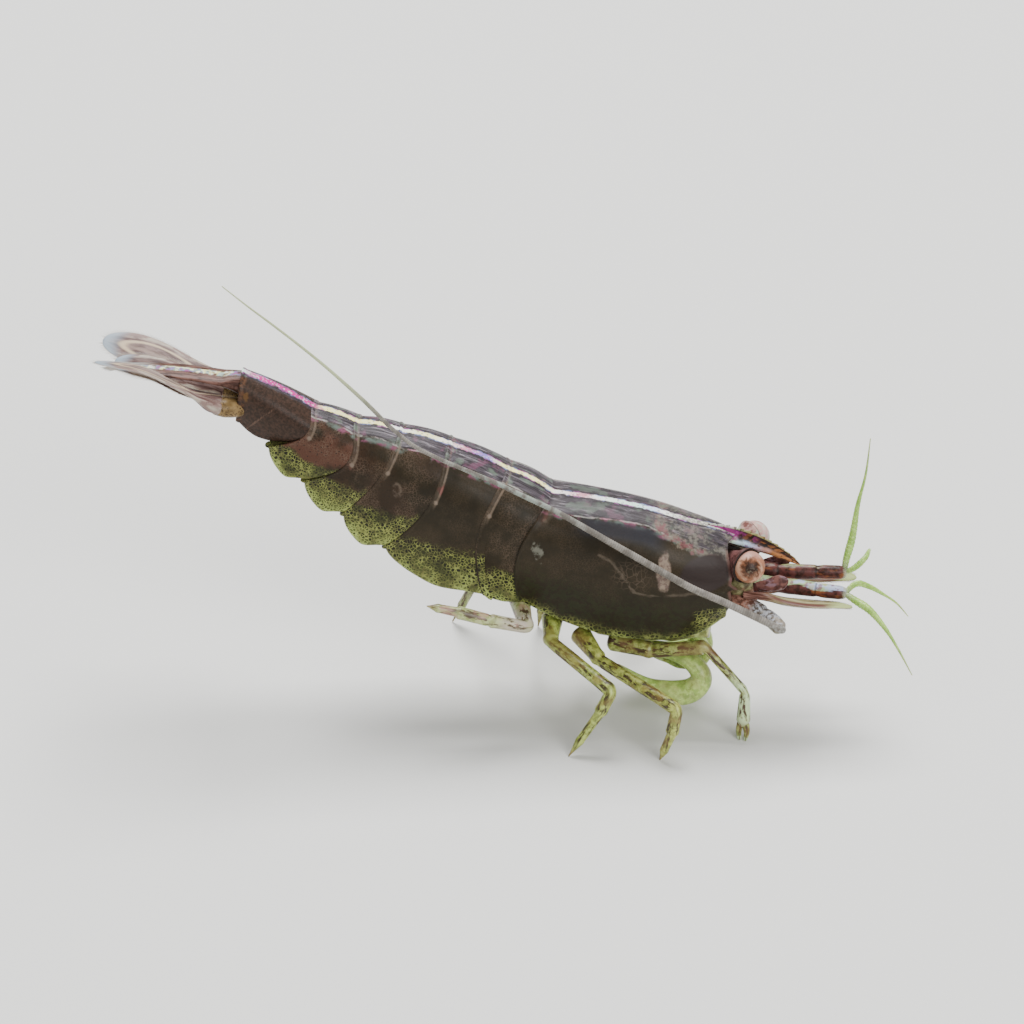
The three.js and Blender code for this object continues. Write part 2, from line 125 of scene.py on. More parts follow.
# ---- curves
def glide(stops, at):
    """A smooth curve through the stops, read at whole and part steps."""
    stops = np.asarray(stops, float)
    last = len(stops) - 1
    at = np.clip(np.asarray(at, float), 0, last)
    step = np.minimum(at.astype(int), last - 1)
    f = (at - step).reshape(at.shape + (1,) * (stops.ndim - 1))
    around = np.concatenate([[2 * stops[0] - stops[1]], stops, [2 * stops[-1] - stops[-2]]])
    a, b, c, d = (around[step + i] for i in range(4))
    return b + 0.5 * f * (c - a + f * (2 * a - 5 * b + 4 * c - d + f * (3 * (b - c) + d - a)))


def lengths(points):
    """How far along a path each of its points is."""
    steps = np.linalg.norm(np.diff(points, axis=0), axis=1)
    return np.concatenate([[0], np.cumsum(steps)])


def soft(values, times):
    """The values with their corners rounded off, and their ends kept."""
    values = np.array(values, float)
    for _ in range(times):
        values[1:-1] = (values[:-2] + 2 * values[1:-1] + values[2:]) / 4
    return values


def even(points, count, soften=0):
    """The path with `count` points at even steps, and its corners rounded over some of them."""
    run = lengths(points)
    want = np.linspace(0, run[-1], count)
    path = np.stack([np.interp(want, run, np.asarray(points)[:, i]) for i in range(3)], axis=1)
    return soft(path, soften)


def flow(stops, samples, count, soften):
    """A smooth curve through the stops, with `count` points at even steps and its bends softened."""
    return even(glide(stops, np.linspace(0, len(stops) - 1, samples)), count, soften)


def profile(stations, count, soften=0):
    """Values at even steps through [share, value] stations."""
    shares, values = zip(*stations)
    return soft(np.interp(np.linspace(0, 1, count), shares, values), soften)


def closed(radii):
    """The radii with both ends drawn to a point."""
    radii = np.array(radii, float)
    radii[0] = radii[-1] = 0
    return radii


def swell(path, stations, soften=0):
    """A half thickness for each point of a path, through [share, value] stations, and none at its ends."""
    return closed(profile(stations, len(path), soften))


def frames(path, lie):
    """Two directions square to the path at each point, carried along it without a twist, and its own."""
    along = np.gradient(path, axis=0)
    along /= np.linalg.norm(along, axis=1)[:, None]
    across = np.zeros_like(path)
    held = np.asarray(lie, float)
    for i, way in enumerate(along):
        held = held - way * np.dot(held, way)
        held = held / np.linalg.norm(held)
        across[i] = held
    return across, np.cross(along, across), along


def unit(way):
    return np.asarray(way, float) / np.linalg.norm(way)


def ease(value, low, high):
    """0 below low, 1 above high and smooth between."""
    t = np.clip((np.asarray(value, float) - low) / (high - low), 0, 1)
    return t * t * (3 - 2 * t)


def between(value, low, on, off, high):
    """1 from on to off, 0 below low and above high, and smooth in the stretches that join them."""
    return ease(value, low, on) * (1 - ease(value, off, high))


def hump(value, middle, width):
    """1 at the middle, falling away on both sides of it."""
    return np.exp(-(((value - middle) / width) ** 2))


# ---- modelling
def ball(sides, rings):
    """A new sphere, with each corner's ring and its turn round the poles."""
    bpy.ops.mesh.primitive_uv_sphere_add(segments=sides, ring_count=rings, radius=1)
    piece = bpy.context.object
    spots = np.empty(len(piece.data.vertices) * 3, np.float32)
    piece.data.vertices.foreach_get("co", spots)
    x, y, z = spots.reshape(-1, 3).T.astype(float)
    ring = np.round(np.arctan2(np.hypot(x, y), z) / math.pi * rings).astype(int)
    column = np.round(np.arctan2(y, x) / (2 * math.pi) * sides).astype(int) % sides
    return piece, ring, column


def lay(piece, places):
    piece.data.vertices.foreach_set("co", (places * MM).ravel())
    piece.data.update()


def write(piece, label, values):
    """Gives each corner of a piece a reading for its finish."""
    layer = piece.data.attributes.new(label, "FLOAT", "POINT")
    layer.data.foreach_set("value", np.asarray(values, np.float32))


def dress(piece, name, nodes, paint, readings):
    """Names and smooths a piece, gives it its finish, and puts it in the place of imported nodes."""
    piece.name = name
    piece.data.name = name
    for label, values in readings.items():
        write(piece, label, values)
    bpy.ops.object.mode_set(mode="EDIT")
    bpy.ops.mesh.select_all(action="SELECT")
    bpy.ops.mesh.normals_make_consistent(inside=False)
    bpy.ops.object.mode_set(mode="OBJECT")
    bpy.ops.object.shade_smooth()
    piece.data.materials.clear()
    piece.data.materials.append(paint)
    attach(piece, "root")
    if nodes:
        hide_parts(*nodes)
    piece.select_set(False)
    return piece


def limb(name, nodes, paint, path, wide, deep=None, sides=16, lie=(0, 1, 0), shape=None):
    """A closed skin round a path, with its half width and half depth at each point of it."""
    piece, ring, column = ball(sides, len(path) - 1)
    across, down, _ = frames(path, lie)
    wide = np.asarray(wide, float)
    deep = wide if deep is None else np.asarray(deep, float)
    angle = 2 * math.pi * column / sides
    share = ring / (len(path) - 1)
    out, up = np.cos(angle), np.sin(angle)
    if shape:
        out, up = shape(out, up, share)
    places = path[ring] + across[ring] * (wide[ring] * out)[:, None] + down[ring] * (deep[ring] * up)[:, None]
    lay(piece, places)
    readings = {"share": share, "run": lengths(path)[ring], "across": out, "upper": up}
    return dress(piece, name, nodes, paint, readings)


def join(pieces):
    """Several pieces as one mesh, kept under the first one's name."""
    for piece in pieces:
        piece.select_set(True)
    bpy.context.view_layer.objects.active = pieces[0]
    bpy.ops.object.join()
    pieces[0].select_set(False)
    return pieces[0]


HAIR_PATCH = 0.003  # how wide each hair's own patch of the map is
PATCH_MARGIN = 0.02  # kept clear round the map
HAIR_STEPS = (0, 0.4, 0.75)  # shares of a hair's length where it has a ring of three corners


def hairs(name, paint, roots, ways, long, thick, spots, curl):
    """Fine hairs as one mesh. Each has a root, a way, a length, a curl and a spot on the 0 to 1 map."""
    roots, ways, curl = (np.asarray(v, float) for v in (roots, ways, curl))
    long = np.broadcast_to(long, len(roots))[:, None]
    ways = ways / np.linalg.norm(ways, axis=1)[:, None]
    aside = np.cross(ways, np.where(np.abs(ways[:, :1]) > 0.8, [[0, 1.0, 0]], [[1.0, 0, 0]]))
    aside /= np.linalg.norm(aside, axis=1)[:, None]
    beside = np.cross(ways, aside)
    rings = []
    for step in HAIR_STEPS:
        middle = roots + long * (step * ways + step * step * curl)
        for turn in range(3):
            angle = 2 * math.pi * turn / 3
            rings.append(middle + thick * (1 - step) * (math.cos(angle) * aside + math.sin(angle) * beside))
    rings.append(roots + long * (ways + curl))
    corners = np.stack(rings, axis=1)
    each = corners.shape[1]
    faces = [(2, 1, 0)]
    for ring in range(len(HAIR_STEPS) - 1):
        for turn in range(3):
            a, b = 3 * ring + turn, 3 * ring + (turn + 1) % 3
            faces.append((a, b, b + 3, a + 3))
    faces += [(each - 4 + turn, each - 4 + (turn + 1) % 3, each - 1) for turn in range(3)]
    mesh = bpy.data.meshes.new(name)
    all_faces = [[i * each + c for c in face] for i in range(len(roots)) for face in faces]
    mesh.from_pydata((corners.reshape(-1, 3) * MM).tolist(), [], all_faces)
    piece = bpy.data.objects.new(name, mesh)
    bpy.context.scene.collection.objects.link(piece)
    patch = mesh.uv_layers.new(name="OFBake")
    corner = np.empty(len(mesh.loops), int)
    mesh.loops.foreach_get("vertex_index", corner)
    inside = np.stack([corner % each % 3 / 2 - 0.5, corner % each / each - 0.5], axis=1) * HAIR_PATCH
    places = np.asarray(spots)[corner // each] * (1 - 2 * PATCH_MARGIN) + PATCH_MARGIN + inside
    patch.uv.foreach_set("vector", places.astype(np.float32).ravel())
    bpy.context.view_layer.objects.active = piece
    piece.select_set(True)
    return dress(piece, name, [], paint, {"share": np.tile([*np.repeat(HAIR_STEPS, 3), 1], len(roots))})


# ---- shader maths
class Reading:
    """A shader socket that can be added, multiplied and compared like a number."""

    def __init__(self, paint, socket):
        self.paint = paint
        self.socket = socket

    def _do(self, operation, *values):
        return self.paint.get("ShaderNodeMath", {"operation": operation}, *values)

    def __add__(self, other):
        return self._do("ADD", self, other)

    __radd__ = __add__

    def __sub__(self, other):
        return self._do("SUBTRACT", self, other)

    def __rsub__(self, other):
        return self._do("SUBTRACT", other, self)

    def __mul__(self, other):
        return self._do("MULTIPLY", self, other)

    __rmul__ = __mul__

    def __truediv__(self, other):
        return self._do("DIVIDE", self, other)

    def __pow__(self, other):
        return self._do("POWER", self, other)

    def abs(self):
        return self._do("ABSOLUTE", self)

    def sine(self):
        return self._do("SINE", self)

    def push(self, amount):
        """A noise's push to either side of 0, up to half the amount."""
        return (self - 0.5) * amount

    def over(self, low, high):
        """0 at low, 1 at high and smooth between; high may be the lower of the two."""
        span = {"From Min": min(low, high), "From Max": max(low, high)}
        ends = {"To Min": float(high < low), "To Max": float(high >= low)}
        settings = {"interpolation_type": "SMOOTHSTEP"}
        return self.paint.get("ShaderNodeMapRange", settings, self, **span, **ends)

    def between(self, low, on, off, high):
        """1 from on to off, 0 below low and above high, and smooth in the stretches that join them."""
        return self.over(low, on) * self.over(high, off)

    def near(self, middle, half, blur=0.5):
        """1 within half of the middle, and 0 a blurred edge beyond it."""
        return (self - middle).abs().over(half * (1 + blur), half * (1 - blur))


class Paint:
    """One finish: a Principled BSDF and the readings that colour it. Places are read in mm."""

    def __init__(self, name, **constants):
        self.material = bpy.data.materials.new(name)
        self.material.use_nodes = True
        self.tree = self.material.node_tree
        self.shader = self.tree.nodes["Principled BSDF"]
        self.plug(self.shader, {socket.replace("_", " "): value for socket, value in constants.items()})
        place = self.node("ShaderNodeTexCoord", {}).outputs["Object"]
        scale = {"operation": "SCALE"}
        self.place = self.get("ShaderNodeVectorMath", scale, place, Scale=1 / MM)
        parts = self.node("ShaderNodeSeparateXYZ", {}, self.place)
        self.x, self.y, self.z = (Reading(self, s) for s in parts.outputs)
        self.colour = None

    def plug(self, node, inputs):
        for key, value in inputs.items():
            value = getattr(value, "socket", value)
            if isinstance(value, bpy.types.NodeSocket):
                self.tree.links.new(value, node.inputs[key])
            else:
                node.inputs[key].default_value = value
        return node

    def node(self, kind, settings, *values, **named):
        """A new node with its settings, and with values or links for its sockets, by number or by name."""
        node = self.tree.nodes.new(kind)
        for key, value in settings.items():
            setattr(node, key, value)
        return self.plug(node, {**dict(enumerate(values)), **named})

    def get(self, kind, settings, *values, output=0, **named):
        return Reading(self, self.node(kind, settings, *values, **named).outputs[output])

    def read(self, attribute):
        return self.get("ShaderNodeAttribute", {"attribute_name": attribute}, output="Fac")

    def spot(self, x, y, z=0.0):
        """A place made of three readings, for a pattern to be laid by."""
        return self.get("ShaderNodeCombineXYZ", {}, x, y, z)

    def noise(self, per_mm, detail=3.0, rough=0.5, at=None, warp=0.0):
        sizes = {"Scale": per_mm, "Detail": detail, "Roughness": rough, "Distortion": warp}
        return self.get("ShaderNodeTexNoise", {}, at or self.place, **sizes)

    def cells(self, per_mm, feature="DISTANCE_TO_EDGE", at=None, output="Distance"):
        kind = "ShaderNodeTexVoronoi"
        return self.get(kind, {"feature": feature}, at or self.place, output=output, Scale=per_mm)

    def stirred(self, amount, per_mm):
        """The place, pushed about by a noise, so that a pattern laid by it is less regular."""
        push = self.get("ShaderNodeTexNoise", {}, self.place, output="Color", Scale=per_mm, Detail=2.0)
        step = {"operation": "MULTIPLY_ADD"}
        return self.get("ShaderNodeVectorMath", step, push, (amount, amount, amount), self.place)

    def mix(self, factor, under, over):
        """`under` where the factor is 0 and `over` where it is 1; each is a colour or a reading."""
        under, over = (v if isinstance(v, Reading) else (*v, 1) for v in (under, over))
        node = self.plug(self.node("ShaderNodeMix", {"data_type": "RGBA"}), {0: factor, 6: under, 7: over})
        return Reading(self, node.outputs[2])

    def ramp(self, reading, low, high, stops):
        """A colour for each value of a reading, through [value, colour] stops."""
        node = self.node("ShaderNodeValToRGB", {}, (reading - low) / (high - low))
        band = node.color_ramp.elements
        while len(band) < len(stops):
            band.new(1)
        for element, (value, colour) in zip(band, stops):
            element.position = (value - low) / (high - low)
            element.color = (*colour, 1)
        return Reading(self, node.outputs[0])

    def wash(self, mask, tint):
        """Lays a tint over the colour so far, fully where the mask is 1."""
        self.colour = self.mix(mask, self.colour, tint)

    def finish(self, height=None, deep=0.0, **others):
        """Feeds the colour and other readings, and raises the surface by `deep` mm where the height is 1."""
        if height is not None:
            others["Normal"] = self.get("ShaderNodeBump", {}, Distance=deep * MM, Height=height)
        self.plug(self.shader, {"Base Color": self.colour, **others})
        return self.material


def mottled(name, grain, low, high, dark, light, look=None):
    """A finish begun as a mottle of two colours, and the noise that lays them."""
    p = Paint(name, **(look or SOFT_SHELL))
    noise = p.noise(*grain)
    p.colour = p.mix(noise.over(low, high), dark, light)
    return p, noise


# ---- colours, as linear light
NIGHT = (0.008, 0.006, 0.005)
BROWN = (0.016, 0.012, 0.006)
UMBER = (0.028, 0.02, 0.01)
NET = (0.13, 0.086, 0.06)
MAROON = (0.09, 0.037, 0.023)
GREEN_BROWN = (0.017, 0.019, 0.007)
COOL = (0.022, 0.022, 0.028)
DUSK = (0.028, 0.023, 0.026)
SLATE = (0.085, 0.072, 0.083)
PALE_SLATE = (0.36, 0.32, 0.35)
TAN = (0.27, 0.205, 0.155)
AMBER = (0.17, 0.085, 0.028)
ROSE = (0.6, 0.2, 0.27)
MAGENTA = (0.5, 0.03, 0.24)
INDIGO = (0.22, 0.17, 0.58)
STRAW = (0.95, 0.88, 0.36)
WHITE = (0.95, 0.95, 0.9)
MINT = (0.62, 0.9, 0.74)
GRANITE = (0.4, 0.38, 0.31)
TEAL = (0.11, 0.145, 0.125)
SKY = (0.52, 0.68, 0.95)
LEMON = (0.23, 0.245, 0.066)
MOSS = (0.09, 0.105, 0.028)
MOSS_DARK = (0.024, 0.026, 0.009)
LIME = (0.36, 0.44, 0.115)

SOFT_SHELL = {
    "Roughness": 0.4,
    "Specular_IOR_Level": 0.13,
    "Coat_Weight": 0.03,
    "Coat_Roughness": 0.2,
    "Subsurface_Weight": 0.06,
    "Subsurface_Radius": (1.0, 0.6, 0.4),
    "Subsurface_Scale": 0.0002,
}
CLEAR_SHELL = {**SOFT_SHELL, "Specular_IOR_Level": 0.35, "Coat_Weight": 0.15, "Subsurface_Weight": 0.3}


# ---- the trunk's finish
# The colours of the back's bright band along x in mm: partly its pale stripe, partly a painted iridescent
# highlight.
RIDGE_COLOURS = [
    (-12.0, SKY), (-10.4, MINT), (-9.6, MAGENTA), (-7.5, MAGENTA), (-7.1, STRAW), (-4.8, STRAW),
    (-4.2, WHITE), (-3.2, STRAW), (-2.2, WHITE), (-1.7, ROSE), (-0.9, INDIGO), (-0.2, STRAW),
    (1.5, STRAW), (2.0, WHITE), (3.0, ROSE), (3.5, WHITE), (4.8, MINT), (5.5, SKY), (6.0, WHITE),
    (6.8, GRANITE), (7.4, GRANITE),
]


def ridge(p, fine):
    """The bright wavering band along the back, in shifting straw, rose and sky with a dark hem: partly the
    pale stripe on the back and partly a painted highlight of iridescent gloss, with painted white glints and
    coloured fringes.
    """
    top = p.read("round").over(0.15, 0.11)
    ragged = fine.push(0.2) + p.noise(1.8, 2.0).push(0.12) + p.noise(14.0, 2.0).push(0.08)
    off = (p.y - MID_Y).abs() + ragged
    p.wash(off.near(0.225, 0.05, 0.8) * top * 0.85, DUSK)
    # painted highlight: coloured iridescent fringes at both sides of the bright band
    fringe = p.mix(p.noise(1.2, 2.0).over(0.45, 0.55), (0.3, 0.08, 0.26), (0.17, 0.21, 0.4))
    p.wash(off.near(0.155, 0.05, 0.8) * top * p.noise(3.4, 2.0).over(0.44, 0.56) * 0.8, fringe)
    # painted highlight in shifting colours, with painted white glints, laid over the pale stripe
    sheen = p.ramp(p.x + p.noise(2.2).push(1.3), -12.0, 7.4, RIDGE_COLOURS)
    sheen = p.mix(p.noise(3.4).over(0.6, 0.7) * 0.5, sheen, SKY)
    sheen = p.mix(p.noise(11.0, 2.0).over(0.53, 0.63) * 0.5, sheen, WHITE)
    specks = p.noise(7.0, 2.0, at=p.spot(p.x, p.y, 9.0)) + p.x.over(5.6, 6.8) * 0.08
    sheen = p.mix(specks.over(0.56, 0.66) * 0.6, sheen, SLATE)
    p.wash(off.over(0.17, 0.105) * top, sheen)


def cobbles(p, deep, fine, size):
    """A light net round dark mossy cobbles, some with black holes. It is lightest where `deep` is 1."""
    ground = p.stirred(0.14, 3.5)
    edge = p.cells(size, at=ground) + fine.push(0.16) - deep * 0.07
    chance = p.cells(size, "F1", at=ground, output="Color")
    stone = p.mix(deep, MOSS_DARK, MOSS)
    stone = p.mix(chance.over(0.5, 0.56) * edge.over(0.1, 0.22) * 0.85, stone, NIGHT)
    net = p.mix(p.noise(2.6).over(0.36, 0.62), (0.085, 0.08, 0.028), LEMON)
    net = p.mix(deep.over(0.3, 1.0) * p.noise(1.1, 2.0).over(0.35, 0.6), net, LIME)
    flap = p.mix(edge.over(0.13, 0.02), stone, net)
    return p.mix(p.noise(1.2).over(0.52, 0.68) * 0.7, flap, MOSS_DARK)


def shell(name, lobe, moss=1.0, red=0.0, mesh=0.5, hinge=0.0, cobble=7.5, extra=None):
    """A trunk plate's finish. `lobe` is how far round the flank the mossy flap begins.

    `cobble` is the flap's cobbles per mm, `extra` adds a plate's own marks, and the rest are strengths.
    """
    p = Paint(name, **SOFT_SHELL)
    rounds, run, girth, share = (p.read(label) for label in ("round", "run", "girth", "share"))
    fine = p.noise(5.5, 3.0, 0.6)
    border = p.read("border") + p.noise(1.3, 4.0, 0.6).push(0.3)

    # flank: near-black brown, clouded, under a fine net
    flank = p.mix(p.noise(0.5, 4.0, 0.6).over(0.35, 0.68), BROWN, UMBER)
    flank = p.mix(p.noise(0.7).over(0.36, 0.56) * red, flank, MAROON)
    web = p.cells(10.5, at=p.stirred(0.1, 5.0))
    flank = p.mix(web.over(0.13, 0.02) * p.noise(1.0).over(0.38, 0.6) * mesh, flank, NET)
    flank = p.mix(p.cells(7.0, "F1").over(0.28, 0.1) * mesh, flank, NIGHT)

    # back: dusky, with long wavering pale lines
    grain = p.noise(8.0, 4.0, 0.66, at=p.spot(run * 0.14, girth, 0.0), warp=0.9)
    back = p.mix(grain.over(0.42, 0.58), DUSK, SLATE)
    back = p.mix(grain.over(0.57, 0.66) * p.noise(1.4, 2.0).over(0.35, 0.6) * 0.85, back, PALE_SLATE)
    back = p.mix(p.noise(1.6).over(0.57, 0.68) * 0.35, back, (0.24, 0.08, 0.15))
    moss_stain = p.noise(1.2, at=p.spot(run, girth, 3.0)).over(0.55, 0.66)
    back = p.mix(moss_stain * 0.55, back, (0.15, 0.2, 0.15))
    p.colour = p.mix(border.over(0.05, -0.1), flank, back)

    # the pale broken line between the two, with teal and rose stains beneath it
    stain = p.mix(p.noise(1.5, 2.0).over(0.46, 0.54), TEAL, (0.2, 0.06, 0.11))
    p.wash(border.near(0.13, 0.1, 0.8) * p.noise(1.9).over(0.46, 0.6) * 0.8, stain)
    pale = p.mix(p.noise(1.0, 2.0).over(0.5, 0.58), (0.36, 0.35, 0.32), (0.46, 0.22, 0.28))
    p.wash(border.near(0.0, 0.032, 0.9) * p.noise(1.5, 4.0, 0.6).over(0.42, 0.56) * 0.75, pale)
    # the back's bright band: its pale stripe and a painted highlight
    ridge(p, fine)

    # flap, and the underside beyond it
    reach = rounds - share * share * 0.12 + p.noise(0.9, 4.0, 0.6).push(0.16)
    flap = cobbles(p, reach.over(lobe + 0.02, 0.8), fine, cobble)
    p.wash((reach + fine.push(0.06)).over(lobe - 0.02, lobe + 0.04) * moss, flap)
    under = p.mix(p.noise(1.5).over(0.4, 0.6), MOSS_DARK, MOSS)
    p.wash(rounds.over(0.8, 0.84), under)

    # the hinge with the next plate: a tan bar a little ahead of the rear rim, which ends in a pale peg
    bar = (p.read("rear") + fine.push(0.05)).near(0.17, 0.145, 0.6) * p.read("dot_way").over(0.06, -0.02)
    bar = bar * (0.35 + 0.65 * border.over(-0.3, 0.1)) * (0.6 + 0.4 * p.noise(3.0, 2.0).over(0.35, 0.55))
    tan = p.mix(p.noise(0.9, 2.0).over(0.52, 0.58), (0.17, 0.125, 0.09), (0.26, 0.105, 0.09))
    p.wash(bar * 0.75 * hinge, tan)
    p.wash((p.read("dot") + fine.push(0.08)).over(0.13, 0.05) * 0.85 * hinge, (0.19, 0.145, 0.11))
    if extra:
        extra(p, fine)
    height = fine * 0.5 + grain * border.over(0.0, -0.1) * 0.8 + web * 1.2 * mesh
    return p.finish(height, 0.016, Roughness=0.34 + p.noise(3.0) * 0.2)


def carapace_marks(p, fine):
    """The carapace's own patches: a smooth cheek, a tan bar, a pale gill line, and a mossy hem and corner."""
    rounds, border = p.read("round"), p.read("border")
    beside = (p.y - MID_Y).abs().over(0.24, 0.32) * border.over(0.0, -0.1)
    p.wash(beside * 0.4, DUSK)
    lichen = p.mix(p.noise(6.5, 3.0, 0.6).over(0.38, 0.62), (0.05, 0.046, 0.038), (0.17, 0.155, 0.125))
    lichen = p.mix(p.noise(2.4).over(0.52, 0.62) * 0.5, lichen, (0.19, 0.11, 0.115))
    front = beside * p.x.over(4.9, 6.4) * p.noise(2.0, 4.0, 0.65).over(0.38, 0.58)
    p.wash(front * 0.75, lichen)
    cool = border.between(0.0, 0.15, 0.55, 0.95) * p.x.between(2.4, 3.4, 5.6, 6.4)
    p.wash(cool * 0.8, COOL)
    p.wash(rounds.over(0.42, 0.62) * 0.8, p.mix(fine.over(0.4, 0.6), GREEN_BROWN, BROWN))
    brow = p.read("brow") + p.noise(4.0, 4.0, 0.65).push(0.5)
    rosy = p.mix(p.noise(4.2, 2.0).over(0.42, 0.58), (0.2, 0.075, 0.08), (0.2, 0.175, 0.13))
    p.wash(brow.over(0.15, 0.02) * 0.65, rosy)
    cheek = p.read("cheek") + p.noise(1.6).push(0.3)
    p.wash(cheek.over(1.1, 0.9), (0.03, 0.021, 0.019))
    veins = p.cells(4.0, at=p.stirred(0.5, 1.6)).over(0.1, 0.0) * p.read("fan").over(1.2, 0.5)
    p.wash(veins * 0.4, (0.11, 0.078, 0.054))
    gill = p.read("gill") + p.noise(2.5).push(0.22)
    p.wash(gill.over(0.1, 0.01) * 0.5, (0.12, 0.094, 0.068))
    bar = p.read("bar") + p.noise(2.8).push(0.9)
    p.wash(bar.over(1.15, 0.75) * 0.9, p.mix(fine.over(0.42, 0.6), TAN, (0.16, 0.11, 0.09)))
    patch = p.read("patch") + p.noise(2.8, 4.0, 0.65).push(3.4)
    p.wash(patch.over(0.9, 0.3) * 0.55, (0.2, 0.2, 0.16))
    rim = p.read("share").over(0.016, 0.006) * rounds.between(0.16, 0.22, 0.54, 0.62)
    p.wash(rim * 0.6, (0.17, 0.085, 0.07))
    hem = (rounds + p.noise(1.4).push(0.1)).over(0.69, 0.77) * 0.8
    corner = (p.read("corner") + p.noise(1.8, 4.0, 0.65).push(1.5)).over(1.15, 0.7)
    green = cobbles(p, rounds.over(0.66, 0.8), fine, 6.5)
    p.wash(hem + corner * (1 - hem), green)


def third_somite_marks(p, fine):
    """The small pale ring on the third somite's flank."""
    ring = p.read("ring") + p.noise(4.0).push(1.5)
    p.wash(ring.near(0.9, 0.34, 0.9) * fine.over(0.36, 0.6) * 0.5, (0.14, 0.105, 0.078))


def last_somite_marks(p, fine):
    """The last somite is plain red-brown up to its ridge, with a crease and an amber spot at its rear rim."""
    plain = p.mix(p.noise(9.0, 3.0, 0.6).over(0.36, 0.64), (0.024, 0.015, 0.01), (0.047, 0.026, 0.018))
    rusty = p.read("share").over(0.72, 0.98) * p.noise(5.0).over(0.42, 0.62)
    plain = p.mix(rusty * 0.8, plain, (0.105, 0.048, 0.024))
    p.wash((p.read("girth") + p.noise(2.0).push(0.3)).over(0.22, 0.36), plain)
    p.wash((p.read("crease") + fine.push(0.1)).over(0.05, 0.01) * 0.6, (0.12, 0.07, 0.05))
    spot = p.read("amber") + fine.push(1.6)
    p.wash(spot.over(1.1, 0.4) * 0.5, AMBER)


# Marks on the plates, seen from the side, in mm as [x, z]: an oval's centre and half sizes, or a drawn line.
CARAPACE_MARKS = {
    "cheek": ((7.75, 6.66), (0.98, 0.72)),
    "bar": ((6.2, 6.82), (0.27, 0.76)),
    "corner": ((7.95, 4.6), (0.75, 0.55)),
    "patch": ((1.3, 7.5), (0.25, 0.48)),
    "fan": ((5.0, 6.7), (0.85, 0.75)),
    "gill": [(3.7, 7.5), (4.2, 7.24), (4.57, 6.71), (5.03, 5.97), (5.65, 5.83), (6.8, 5.89), (7.9, 5.9)],
    "brow": [(5.8, 8.36), (6.25, 8.07), (6.7, 7.82), (7.3, 7.56), (7.95, 7.28)],
}
THIRD_SOMITE_MARKS = {"ring": ((-4.09, 9.73), (0.16, 0.22))}
LAST_SOMITE_MARKS = {
    "crease": [(-10.0, 11.5), (-9.4, 12.15), (-8.9, 12.57)],
    "amber": ((-10.0, 12.95), (0.16, 0.2)),
}
# How far round from the ridge the back's own colours reach, in mm, at places along the body.
BACK_REACH = [
    (-11.0, 0.3), (-7.5, 0.6), (-4.5, 0.8), (-1.8, 1.0), (0.5, 0.84), (2.3, 1.12), (5.4, 0.94), (7.1, 1.2),
    (8.3, 1.85),
]
FAR = 9.0  # mm, further than any mark reaches


def oval(spots, middle, half):
    """How many times further out than an oval's rim each place is, looking from the side."""
    return np.hypot((spots[:, 0] - middle[0]) / half[0], (spots[:, 2] - middle[1]) / half[1])


def from_line(spots, line):
    """How far each place is from a drawn line, looking from the side, in mm."""
    flat = spots[:, [0, 2]]
    best = np.full(len(flat), FAR)
    for a, b in zip(np.array(line[:-1]), np.array(line[1:])):
        t = np.clip((flat - a) @ (b - a) / np.dot(b - a, b - a), 0, 1)
        best = np.minimum(best, np.linalg.norm(flat - a - t[:, None] * (b - a), axis=1))
    return best


# ---- the trunk
# How a plate closes, ring by ring: [share of the rings, share along the plate, size, shift forward in mm].
TUCKED = [
    (0, 0, 0, 0.2), (0.05, 0, 0.7, 0.2), (0.09, 0, 0.93, 0.2), (0.12, 0, 0.965, 0.08), (0.14, 0, 0.99, 0),
]
LAPPING = [(0, 0, 0, 0), (0.05, 0, 0.9, 0.2), (0.09, 0, 1.03, 0.34), (0.12, 0, 1.04, 0.2), (0.14, 0, 1.02, 0)]
HOLLOW = [
    (0, 0, 0, -1.3), (0.04, 0, 0.62, -1.2), (0.08, 0, 0.88, -0.6), (0.11, 0, 0.955, 0),
    (0.14, 0, 0.985, 0.08),
]
LIPPED = [
    (0.17, 0.02, 1, 0), (0.86, 1, 1, 0), (0.88, 1, 1.014, -0.07), (0.9, 1, 1.014, -0.14),
    (0.92, 1, 0.985, -0.17), (0.94, 1, 0.95, -0.1), (0.97, 1, 0.6, 0), (1, 1, 0, 0),
]
PLATE_RINGS = 84
PLATE_SIDES = 144
HINGE_AHEAD = 0.14  # mm from a plate's rear rim to its hinge
LAP_BAND = (0.4, 0.47, 0.8, 0.84)  # how far round a lapping plate's front edge starts to overlap and stops


def closing(steps, table):
    """Each ring's share along the plate, its size and its shift forward, ending in the usual rear rim."""
    table = np.array(table + LIPPED)
    return [np.interp(steps, table[:, 0], values)[:, None] for values in table[:, 1:].T]


def round_from_ridge(rings):
    """How far round from the ridge each corner of each ring is, in mm, going the shorter way."""
    girth = np.cumsum(np.linalg.norm(rings - np.roll(rings, 1, axis=1), axis=2), axis=1)
    girth = girth - girth[:, :1]
    return np.minimum(girth, girth[:, -1:] - girth)


